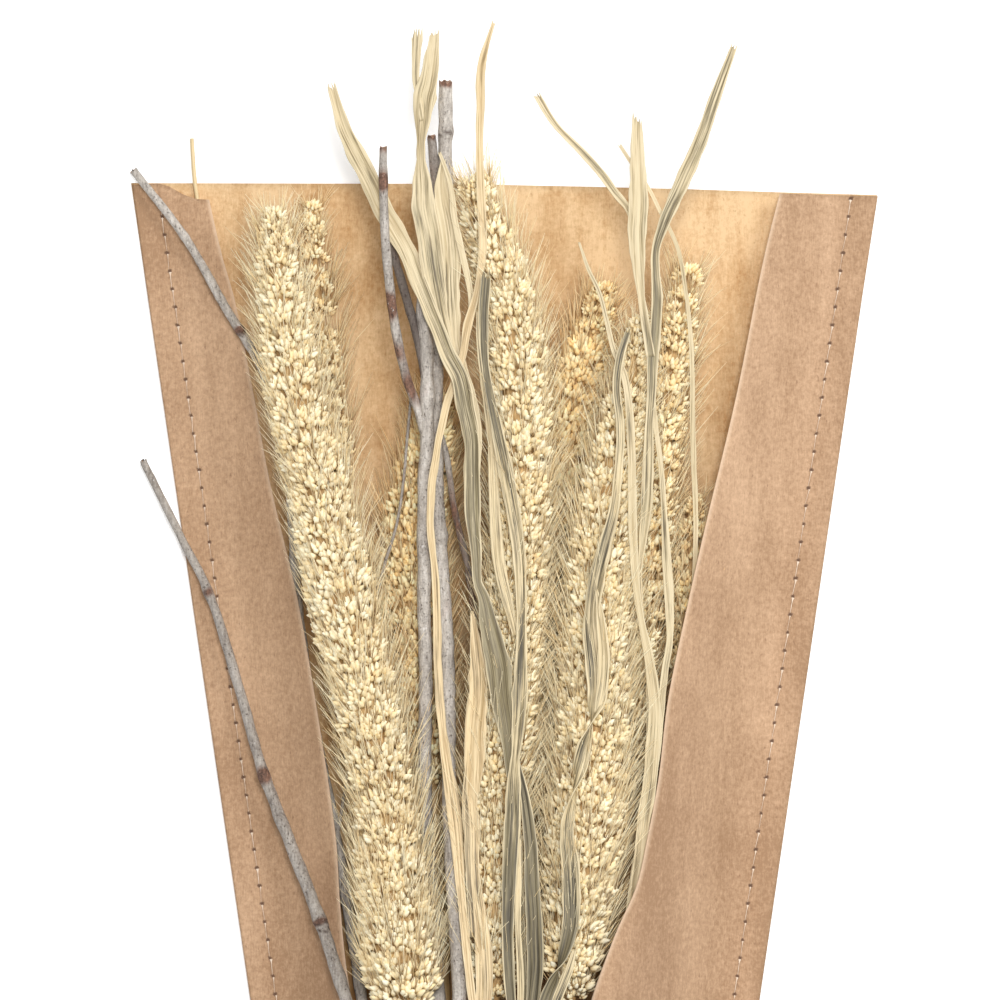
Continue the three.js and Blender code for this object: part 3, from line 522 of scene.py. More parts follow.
def close_round(shape, corners, around):
    """Joins the edges of a rolled-up grid and fills its ends, which it returns."""
    seam = [corner for corner, a in zip(corners, around) if a < 1e-4 or a > 1 - 1e-4]
    bmesh.ops.remove_doubles(shape, verts=seam, dist=1e-4)
    rims = [edge for edge in shape.edges if edge.is_boundary]
    caps = bmesh.ops.holes_fill(shape, edges=rims, sides=0)["faces"]
    bmesh.ops.recalc_face_normals(shape, faces=shape.faces)
    return caps


def tube(shape, run, start, end, sides, step, radius_at, **marks):
    """A closed round skin along a run; radius_at(s, angle, places) gives its radius in mm."""
    rows = max(2, round((end - start) / step))
    corners, around, along = grid(shape, sides, rows)
    s = start + along * (end - start)
    angle = around * 2 * math.pi
    place, way, side, up = run.at(s)
    out = side * np.cos(angle)[:, None] + up * np.sin(angle)[:, None]
    radius = radius_at(s, angle, place + out)
    values = {name: value(s, angle, place) if callable(value) else value for name, value in marks.items()}
    settle(shape, corners, place + out * radius[:, None], **values)
    return close_round(shape, corners, around)


bark = Finish("weathered_bark", Roughness=0.8)
grainy = bark.noise(bark.place(), 1700, 3, 0.7)
streaks = bark.noise(bark.stretched((1300, 300, 1300)), 1, 4, 0.6)
patches = bark.noise(bark.stretched((170, 70, 170)), 1, 3)
grey = bark.ramp(streaks * 0.45 + grainy * 0.35 + patches * 0.35 - 0.07, [
    (0.32, (0.16, 0.13, 0.11)), (0.44, (0.38, 0.34, 0.30)),
    (0.56, (0.58, 0.53, 0.47)), (0.7, (0.82, 0.77, 0.71))])
brown = bark.ramp(streaks * 0.5 + grainy * 0.5, [
    (0.35, (0.05, 0.025, 0.018)), (0.65, (0.34, 0.18, 0.12))])
red = (bark.mark("red") + (patches - 0.68) * 2).between(0.05, 0.6)
pores = bark.noise(bark.stretched((1900, 1100, 1900)), 1, 1).between(0.64, 0.76)
pale = bark.noise(bark.stretched((1300, 700, 1300)), 1, 1).between(0.70, 0.78)
colour = bark.mix(red, grey, brown)
colour = bark.mix(pores * 0.6, colour, (0.10, 0.07, 0.055))
colour = bark.mix(pale * 0.7, colour, (0.80, 0.76, 0.72))
colour = bark.mix(bark.mark("crack"), colour, (0.06, 0.035, 0.025))
colour = bark.mix(bark.mark("wood"), colour, (0.44, 0.26, 0.17))
bark.wear(Base_Color=colour, Normal=bark.bump(streaks + grainy * 0.7 - pores, 0.8, 0.0004))

# Distances along a twig run from its tip: its knots, its cracks and, each with how far it reaches, its
# rubbed places.  The row and column are its place in the tied bunch.
TWIGS = [
    {
        "number": 1, "shade": 0.31, "radius": (0.95, 1.75), "row": 1, "column": -3, "knots": (38, 88, 129),
        "red": ((38, 1.6), (88, 2.4), (129, 1)), "cracks": (129.6, 131.4),
        "route": [(-94, 127, 4.2), (-84, 107, 4.6), (-77, 93, 5.6), (-69, 68, 6.8), (-63, 47, 8.2),
                  (-55, 26, 10.6), (-48, 8, 14), (-41, -13, 18.6), (-37, -24, 20.4), (-32, -36, 21),
                  (-25, -55, 21)],
    },
    {
        "number": 2, "shade": 0.1, "radius": (1.05, 1.6), "row": 0, "column": -4, "knots": (22, 50, 60),
        "red": ((50, 1.6), (75, 9)), "cracks": (51,),
        "route": [(-96.5, 202.6, 4.6), (-83, 185, 6), (-72, 166, 8), (-63, 151, 9.2), (-57, 130, 9.6),
                  (-55, 110, 8.4), (-54, 91, 7), (-50, 60, 6.4), (-44, 30, 7.2), (-39, 0, 9.4),
                  (-36, -20, 12.6)],
        "branches": [(0.42, 0.3, (), [
            (-24.5, 142, 25), (-25.4, 132, 24), (-26.3, 122, 22.5), (-28, 111, 20.5), (-31.3, 100, 18.2),
            (-35, 85, 15.2), (-37.5, 65, 12.2), (-41, 45, 9.6), (-43.6, 29, 7.4)])],
    },
    {
        "number": 3, "shade": 0.08, "radius": (1.8, 1.9), "row": -1, "column": -1, "knots": (32, 66),
        "red": (), "cracks": (),
        "route": [(-20.2, 175, 29.2), (-21.2, 166, 29.5), (-20.4, 157, 29.5), (-20.2, 145, 29.4),
                  (-20.2, 133, 29), (-20.8, 122, 28.4), (-21, 108, 27.3), (-20.9, 88, 26),
                  (-20.5, 70, 24.8), (-20.8, 52, 23.4), (-20.6, 38, 22), (-19.5, 22, 20.4),
                  (-18, 5, 18.8), (-17, -20, 17)],
        "branches": [
            (1.3, 0.12, ((0.4, 0.8), (8.5, 4.6), (8.5, 1.6), (39, 2.5), (42, 3), (53, 4), (62, 5)), [
                (-31.5, 207.8, 36.5), (-31.4, 196, 35.8), (-30.9, 184, 34.4), (-29.8, 172, 32.6),
                (-28.6, 163, 31), (-27, 154.7, 30.2), (-25, 147, 29.6), (-22.4, 140, 29.2),
                (-20.6, 133, 29)]),
            (1.2, 0.75, (), [
                (-30.6, 186, 28), (-28.4, 179, 28.2), (-26.6, 173, 28.5), (-24, 164, 28.8),
                (-22, 156, 29), (-20.6, 148, 29)]),
        ],
    },
    {
        "number": 4, "shade": 0.04, "radius": (1.9, 1.9), "row": 1, "column": -1, "knots": (13, 26, 118),
        "red": ((0, 1.4),), "cracks": (13.3,),
        "route": [(-15.3, 225, 32.5), (-15.4, 212, 31), (-15.5, 200, 29.6), (-15.8, 188, 28.4),
                  (-16.6, 172, 26.8), (-17.6, 155, 25.4), (-17.9, 140, 24.6), (-17.8, 128, 24.3),
                  (-17.4, 116, 24.1), (-16.6, 103, 24.1), (-15.7, 90, 24.4), (-14.9, 76, 25),
                  (-14.7, 63, 25.7), (-14.6, 50, 26.8), (-14.4, 38, 28), (-13.9, 25, 29.6),
                  (-13, 10, 31.4), (-12, -5, 32.4), (-11.5, -20, 32)],
        "branches": [(1.3, 0.5, ((0, 0.9),), [
            (-19, 210.8, 31.8), (-18.5, 205, 31), (-17.8, 199, 30.2), (-16.4, 189, 29)])],
    },
    {
        "number": 5, "shade": 0.1, "radius": (0.8, 1.3), "row": -1, "column": 1, "knots": (38,),
        "red": ((20, 9), (45, 14)), "cracks": (),
        "route": [(-16.6, 134, 20.8), (-15, 127.4, 20.8), (-13.3, 115.4, 20.8), (-12, 109.5, 20.7),
                  (-9.6, 99.6, 20.5), (-8.4, 91.5, 20.2), (-8, 84, 19.8), (-8.4, 60, 19), (-9, 30, 18),
                  (-9, 0, 17.4), (-8, -20, 17)],
    },
]


def near(s, spots):
    """Up to 1 at each spot along a twig, given with how far it reaches."""
    return sum((np.exp(-((s - spot) / reach) ** 2) for spot, reach in spots), np.zeros(len(s)))


def grow(shape, run, ends, sides, knots, tint, rubbed, cracks, seed):
    """One shoot: its thickness runs between `ends`, with knots, rubbed places and cracks on it.

    `tint` darkens its whole bark.
    """
    tip, base = ends

    def thickness(s, angle, places):
        plain = tip + (base - tip) * np.minimum(1, s / run.length * 3)
        knotty = 0.16 * near(s, [(knot, 1.8) for knot in knots]) * (1 + 0.8 * np.cos(angle + seed))
        worn = 0.05 * swell(places, 9, seed) + 0.06 * swell(places * [1, 0.25, 1], 2.2, seed + 9)
        return plain * (0.96 + knotty + worn - 0.05 * near(s, [(crack, 0.4) for crack in cracks]))

    return tube(
        shape, run, 0, run.length, sides, 0.8 if cracks else 1.2, thickness,
        wood=0.0,
        red=lambda s, angle, places: tint * 0.5 + near(s, rubbed) * (0.75 + 0.3 * np.cos(angle - 1.2)),
        crack=lambda s, angle, places: tint + 0.8 * near(
            s + 0.5 * np.sin(angle * 2 + seed), [(crack, 0.3) for crack in cracks]))


for twig in TWIGS:
    number = twig["number"]
    shape = blank("red", "wood", "crack")
    run = Run(with_tail(twig["route"], twig["row"], twig["column"]))
    caps = grow(shape, run, twig["radius"], 14, twig["knots"], twig["shade"], twig["red"], twig["cracks"],
                number)
    for radius, tint, rubbed, stations in twig.get("branches", []):
        caps += grow(shape, Run(stations), (radius * 0.85, radius), 10, (), tint, rubbed, (), number + 5)
    layer = shape.verts.layers.float["wood"]
    random = np.random.default_rng(number)
    for cap in caps:
        if cap.calc_center_median().y > 0:
            for corner in cap.verts:
                corner.co.y += random.uniform(-0.5, 0.7)
        bmesh.ops.inset_region(shape, faces=[cap], thickness=0.15)
        for corner in cap.verts:
            corner[layer] = 0.9
    finish_piece(f"twig_{number}_bark", shape, [bark], [f"twig_{number}"])

# ================================================================ straws
# Dry round stems: the thin straw under the left flap and the stalks that carry the millet heads.
# They are hollow grass stems, yellow and ribbed lengthwise.


def straw_finish(name, dark, light):
    straw = Finish(name, Roughness=0.5)
    ribs = straw.noise(straw.stretched((2600, 60, 2600)), 1, 2)
    age = straw.noise(straw.stretched((90, 30, 90)), 1, 3)
    colour = straw.mix(ribs * 0.6 + age * 0.5 - 0.05, dark, light)
    straw.wear(Base_Color=colour, Normal=straw.bump(ribs, 0.5))
    return straw


pale_straw = straw_finish("pale_straw", (0.50, 0.32, 0.13), (0.90, 0.76, 0.47))
# The stalks get the same straw painted darker and browner: painted shade where they show between the
# grains.
shaded_straw = straw_finish("shaded_straw", (0.24, 0.125, 0.045), (0.58, 0.39, 0.17))
thin = Run(with_tail([(-81.4, 211, 1.7), (-80.4, 198, 1.55), (-76, 175, 1.6), (-69, 140, 1.9),
                      (-62, 100, 2.6), (-54, 50, 3.4), (-46, 6, 4.4), (-40, -20, 5.4)], -1, -3))
shape = blank()
tube(shape, thin, 0, thin.length, 8, 4,
     lambda s, angle, places: 0.5 + 0.4 * np.minimum(1, s / thin.length * 3))
finish_piece("thin_straw", shape, [pale_straw], ["twig_6"])

# ================================================================ millet heads
# Each head is a long spike of grain clusters round a stalk.  A cluster is a rosette of plump oval
# grains that point outwards and to the tip, with fine stiff bristles that spring from under it.
# The girths are a head's radii from its tip to its foot, and the golden share runs from cream, 0, to 1.
# The golden tone is painted shade and golden light thrown back from the paper, set highest on the heads
# that lie low in the bundle.
HEADS = [
    {
        "number": 1, "shaded_gold": 0.0, "girth": (3.6, 6.6, 7.6, 7.8, 8.6, 9.2, 8.8, 8.5, 8.5, 9.4, 10.4, 9.2),
        "head": [(-60, 192, 24), (-58, 172, 26), (-54, 143, 27), (-47, 114, 27.5), (-42, 90, 27.5),
                 (-36, 65, 27.5), (-31, 38, 27.5), (-29, 17, 27.5), (-27, -4, 27.5), (-25, -16, 27.5)],
        "stalk": [(-23.5, -24, 27)], "row": 0, "column": -2,
    },
    {
        "number": 2, "shaded_gold": 0.45, "girth": (2.6, 4.4, 4.8, 4.8, 4.4),
        "head": [(-50, 194, 7.5), (-49.5, 180, 7.2), (-48, 162, 7), (-45.5, 142, 7), (-42, 122, 7)],
        "stalk": [(-38, 100, 7.5), (-33.5, 65, 8), (-31, 30, 8), (-28, -20, 8)], "row": -2, "column": -2,
    },
    {
        "number": 3, "shaded_gold": 0.05, "girth": (4.6, 6.8, 7.6, 7.8, 7.9, 8, 8, 8, 7.8, 7.6, 7.6, 7),
        "head": [(-9, 201, 25.5), (-5, 188, 26.3), (1, 168, 27), (4, 143, 27.5), (4, 117, 27.5),
                 (3, 91, 27.5), (1, 65, 27.5), (-2, 39, 27.5), (-3, 13, 27.5), (-3, -13, 27.5)],
        "stalk": [(-3, -22, 27)], "row": 0, "column": 0,
    },
    {
        "number": 4, "shaded_gold": 0.9, "girth": (3.6, 7, 7.9, 8, 8, 7.8, 7.4, 6.6),
        "head": [(26, 173, 9.6), (23, 161, 9.4), (18, 143, 9.4), (15, 122, 9.4), (12, 101, 9.4),
                 (11, 78, 9.4), (9, 52, 9.4), (9, 31, 9.4)],
        "stalk": [(8, 10, 9), (6, -20, 9)], "row": -2, "column": 2,
    },
    {
        "number": 5, "shaded_gold": 0.05, "girth": (2.8, 5.2, 6.8, 8.2, 9, 9.4, 9.8, 10, 10, 8.6, 6.5),
        "head": [(35, 165, 26), (32, 146, 26.5), (28, 125, 27), (25, 104, 27), (23.6, 85, 27),
                 (23, 66, 27), (21.8, 45, 27), (19.3, 20, 27), (17.4, 0, 27), (16.8, -13, 27)],
        "stalk": [(16.5, -20, 27)], "row": 0, "column": 2,
    },
    {
        "number": 6, "shaded_gold": 0.45, "girth": (4, 5.6, 5.8, 5.7, 5.5, 5.2, 4.6),
        "head": [(48, 178, 12), (45, 161, 12.5), (42, 143, 13), (40, 122, 13), (37, 101, 13),
                 (35, 78, 13), (32, 55, 13), (30, 36, 13)],
        "stalk": [(27, 5, 12), (24, -20, 11.5)], "row": -1, "column": 3,
    },
    {
        "number": 7, "shaded_gold": 0.8, "girth": (2.5, 5.2, 5.8, 5.6, 4.8),
        "head": [(49, 118, 7.4), (48.5, 101, 7.4), (47.5, 86, 7.4), (46, 68, 7.4)],
        "stalk": [(43, 30, 7.3), (38, -20, 7.5)], "row": 0, "column": 4,
    },
    {
        "number": 8, "shaded_gold": 1.0, "girth": (4.4, 7.6, 8.4, 8.6, 8.6, 8.2, 7),
        "head": [(-18, 144, 10), (-19, 132, 10.4), (-23, 112, 10.4), (-24, 91, 10.4), (-22, 65, 10.4),
                 (-19, 44, 10.4)],
        "stalk": [(-17, 20, 9.5), (-15, -20, 9)], "row": -2, "column": 0,
    },
]
CLUSTER_STEP = 3.9
CLUSTER_WIDTH = 4.4
GRAINS = 11
CLUSTER_DEPTH = 3.3
BRISTLES = 10
GRAIN_LENGTH = 1.5
GRAIN_SLACK = 1.6
GRAIN_FLOOR = 1.9
BRISTLE_SLACK = 2
BRISTLE_FLOOR = 1.4
BRISTLE_TOP = 211

grain_finish = Finish("millet_grain", Roughness=0.5, Specular_IOR_Level=0.3)
tone = grain_finish.mark("tone")
gold = grain_finish.mark("gold")
husk = grain_finish.noise(grain_finish.place(), 1500, 2)
pale = grain_finish.mix(tone, (0.92, 0.76, 0.45), (1.0, 0.93, 0.71))
warm = grain_finish.mix(tone, (1.0, 0.72, 0.33), (1.0, 0.94, 0.62))
# The golden grain colour is painted shade and golden light thrown back from the paper.
body = grain_finish.mix(gold, pale, warm)
foot = grain_finish.mix(gold, (0.78, 0.58, 0.29), (0.80, 0.50, 0.22))
colour = grain_finish.mix((grain_finish.mark("tip") + husk * 0.6 - 0.3).between(-0.9, 0.1), foot, body)
grain_finish.wear(Base_Color=colour, Normal=grain_finish.bump(husk, 0.3))

bristle_finish = Finish("millet_bristle", Roughness=0.5)
tone = bristle_finish.mark("tone")
fair = bristle_finish.mix(tone, (0.88, 0.66, 0.34), (1.0, 0.92, 0.66))
tawny = bristle_finish.mix(tone, (0.92, 0.58, 0.26), (1.0, 0.86, 0.53))
# The tawny hair colour is painted shade and golden light thrown back from the paper.
hair = bristle_finish.mix(bristle_finish.mark("gold"), fair, tawny)
# Painted shade: each bristle is dark brown at its root, down among the grains, and takes its hair colour by
# 0.4 of its length.
out_of_shade = bristle_finish.mark("tip").between(0, 0.4)
bristle_finish.wear(Base_Color=bristle_finish.mix(out_of_shade, (0.42, 0.22, 0.08), hair))

# Partly painted shade: the spindle's brown is darkened so that it reads as the shaded gaps between grains.
pith_and_gap_shade = Finish("millet_spindle", Roughness=0.75)
fuzz = pith_and_gap_shade.noise(pith_and_gap_shade.stretched((1500, 400, 1500)), 1, 3)
pith_and_gap_shade.wear(Base_Color=pith_and_gap_shade.mix(fuzz.between(0.3, 0.7), (0.28, 0.15, 0.055), (0.70, 0.48, 0.22)),
          Normal=pith_and_gap_shade.bump(fuzz, 0.8))

grain = bmesh.new()
bmesh.ops.create_uvsphere(grain, u_segments=5, v_segments=4, radius=1)
spots = np.array([corner.co[:] for corner in grain.verts])
spots[:, :2] *= (0.84 - 0.42 * spots[:, 2])[:, None]
settle(grain, grain.verts, spots * [1, 1, GRAIN_LENGTH])
grain = facets(grain)
grain_tips = grain[0][:, 2] / GRAIN_LENGTH

bristle = blank()
bmesh.ops.create_cone(bristle, cap_ends=True, segments=3, radius1=1, radius2=0.3, depth=1)
bmesh.ops.bisect_plane(bristle, geom=bristle.verts[:] + bristle.edges[:] + bristle.faces[:],
                       plane_co=(0, 0, 0.05), plane_no=(0, 0, 1))
spots = np.array([corner.co[:] for corner in bristle.verts]) + [0, 0, 0.5]
spots[:, 0] += 11 * spots[:, 2] ** 2
settle(bristle, bristle.verts, spots)
bristle_shares = spots[:, 2]
bristle = facets(bristle)


def unit(ways):
    return ways / np.linalg.norm(ways, axis=1)[:, None]


def clears_front(spots, slack):
    """Where points lie in the opening or below the front sheet, by at least `slack`."""
    x, y, z = spots.T
    in_opening = (y > apex_y + 2) & (x > np.interp(y, left_edge[:, 1], left_edge[:, 0]) + 0.6)
    in_opening &= x < np.interp(y, right_edge[:, 1], right_edge[:, 0]) - 0.6
    return in_opening | (z < 1 + rise(x, y) - slack)


def pointing(ways, random):
    """Turns whose third column is each way, spun at random about it."""
    helper = random.normal(size=ways.shape)
    first = unit(np.cross(ways, helper))
    return np.stack([first, np.cross(ways, first), ways], axis=2)


for plant in HEADS:
    number = plant["number"]
    random = np.random.default_rng(700 + number)
    run = Run(with_tail([*plant["head"], *plant["stalk"]], plant["row"], plant["column"]))
    length = Run(plant["head"]).length
    girths = np.array(plant["girth"], float)

    def girth_at(s):
        foot = np.clip((length - s) / 7, 0.2, 1) ** 0.5
        return np.interp(s / length, np.linspace(0, 1, len(girths)), girths) * foot

    shape = blank()
    tube(shape, run, 3, length + 0.2, 10, 4, lambda s, angle, places: np.clip(
        girth_at(s) - CLUSTER_DEPTH, 0.7, STALK_RADIUS + 0.3 * (length + 1 - s)))
    finish_piece(f"spindle_{number}", shape, [pith_and_gap_shade], [f"millet_head_{number}"])

    shape = blank()
    tube(shape, run, length - 1.5, run.length, 10, 5,
         lambda s, angle, places: STALK_RADIUS * (0.97 + 0.03 * swell(places, 30, number)))
    finish_piece(f"stalk_{number}", shape, [shaded_straw], [f"millet_stalk_{number}"])

    # where the clusters sit: rows along the head, staggered round it
    s, angle = [], []
    at, turn = 1.0, 0.0
    while at < length - 1:
        count = max(3, round(2 * math.pi * (girth_at(at) - 1.2) / CLUSTER_WIDTH))
        turn += math.pi / count
        s.extend(at + random.normal(0, 0.9, count))
        angle.extend(turn + 2 * math.pi * np.arange(count) / count + random.normal(0, 0.13, count))
        at += CLUSTER_STEP * min(1, 0.6 + at / 25)
    s = np.clip(np.array(s), 0.3, length - 0.5)
    angle = np.array(angle)
    kept = random.uniform(size=len(s)) > 0.02
    if number == 1:
        kept &= ~((np.abs(s - length + 15) < 3) & (np.abs(angle % (2 * math.pi) - 1.6) < 0.3))
    s, angle = s[kept], angle[kept]
    place, way, side, up = run.at(s)
    out = side * np.cos(angle)[:, None] + up * np.sin(angle)[:, None]
    reach = girth_at(s) * random.uniform(0.93, 1.07, len(s))
    vigour = random.uniform(0.88, 1.1, len(s)) * np.clip(reach / 6.5, 0.72, 1)
    root = place + out * np.maximum(0.2, reach - CLUSTER_DEPTH * vigour)[:, None] + way * 1.2
    lean = random.uniform(0.75, 1.1, len(s))[:, None]
    facing = unit(out * np.cos(lean) - way * np.sin(lean))

    # each rosette: one grain in the middle and the rest fanned out round it
    turns, places, tones, shade_golds = [], [], [], []
    bloom = random.normal(0, 0.17, len(s))
    for k in range(GRAINS):
        spin = k * 2.4 + random.uniform(0, 0.7, len(s))
        spread = (0.1 if k == 0 else 0.4 + 0.085 * k) + random.normal(0, 0.07, len(s))
        first = unit(np.cross(facing, way))
        second = np.cross(facing, first)
        aside = first * np.cos(spin)[:, None] + second * np.sin(spin)[:, None]
        ray = unit(facing * np.cos(spread)[:, None] + aside * np.sin(spread)[:, None])
        lie = unit(ray + facing * 0.7)
        plump = vigour * random.uniform(0.85, 1.1, len(s))
        turns.append(pointing(lie, random) * (plump * 0.98)[:, None, None])
        places.append(root + ray * (2.6 * vigour)[:, None])
        tones.append(np.clip(random.uniform(0, 1, len(s)) + bloom, 0, 1))
        shade_golds.append(plant["shaded_gold"] + random.normal(0, 0.12, len(s)) + bloom * 0.5)
    turns, places = np.concatenate(turns), np.concatenate(places)
    tones, shade_golds = np.concatenate(tones), np.clip(np.concatenate(shade_golds), 0, 1)
    seen = (places[:, 2] > GRAIN_FLOOR) & clears_front(places, GRAIN_SLACK)
    marks = {"tone": tones[seen][:, None], "tip": grain_tips[None], "gold": shade_golds[seen][:, None]}
    strew(f"grains_{number}", grain, turns[seen], places[seen], marks, grain_finish,
          [f"millet_head_{number}"])

    # the bristles, a spray from under each rosette that sweeps towards the tip
    turns, places, tones = [], [], []
    for _ in range(BRISTLES):
        slant = random.uniform(0.12, 0.72, len(s))[:, None] ** 1.2
        around = random.normal(0, 0.24, len(s))[:, None]
        ray = unit(out * np.sin(slant) - way * np.cos(slant) + np.cross(out, way) * around)
        long = random.uniform(8, 16, len(s)) * np.clip(reach / 6, 0.55, 1) * (0.9 + 0.45 * s / length)
        bend = pointing(ray, random)
        bend[:, :, :2] *= random.uniform(0.1, 0.17, len(s))[:, None, None]
        bend[:, :, 2] *= long[:, None]
        turns.append(bend)
        places.append(root + out * random.uniform(0.6, 2.4, len(s))[:, None])
        tones.append(random.uniform(0, 1, len(s)))
    turns, places, tones = np.concatenate(turns), np.concatenate(places), np.concatenate(tones)
    ends = places + turns[:, :, 2]
    sparse = np.tile(out[:, 2], BRISTLES) * 0.5 < random.uniform(0, 1, len(ends))
    clear = sparse & (ends[:, 2] > BRISTLE_FLOOR) & (ends[:, 1] < BRISTLE_TOP)
    clear &= clears_front(ends, BRISTLE_SLACK) & clears_front((places + ends) / 2, BRISTLE_SLACK)
    marks = {"tone": tones[clear][:, None], "tip": bristle_shares[None], "gold": plant["shaded_gold"]}
    strew(f"bristles_{number}", bristle, turns[clear], places[clear], marks, bristle_finish,
          [f"millet_head_{number}"])

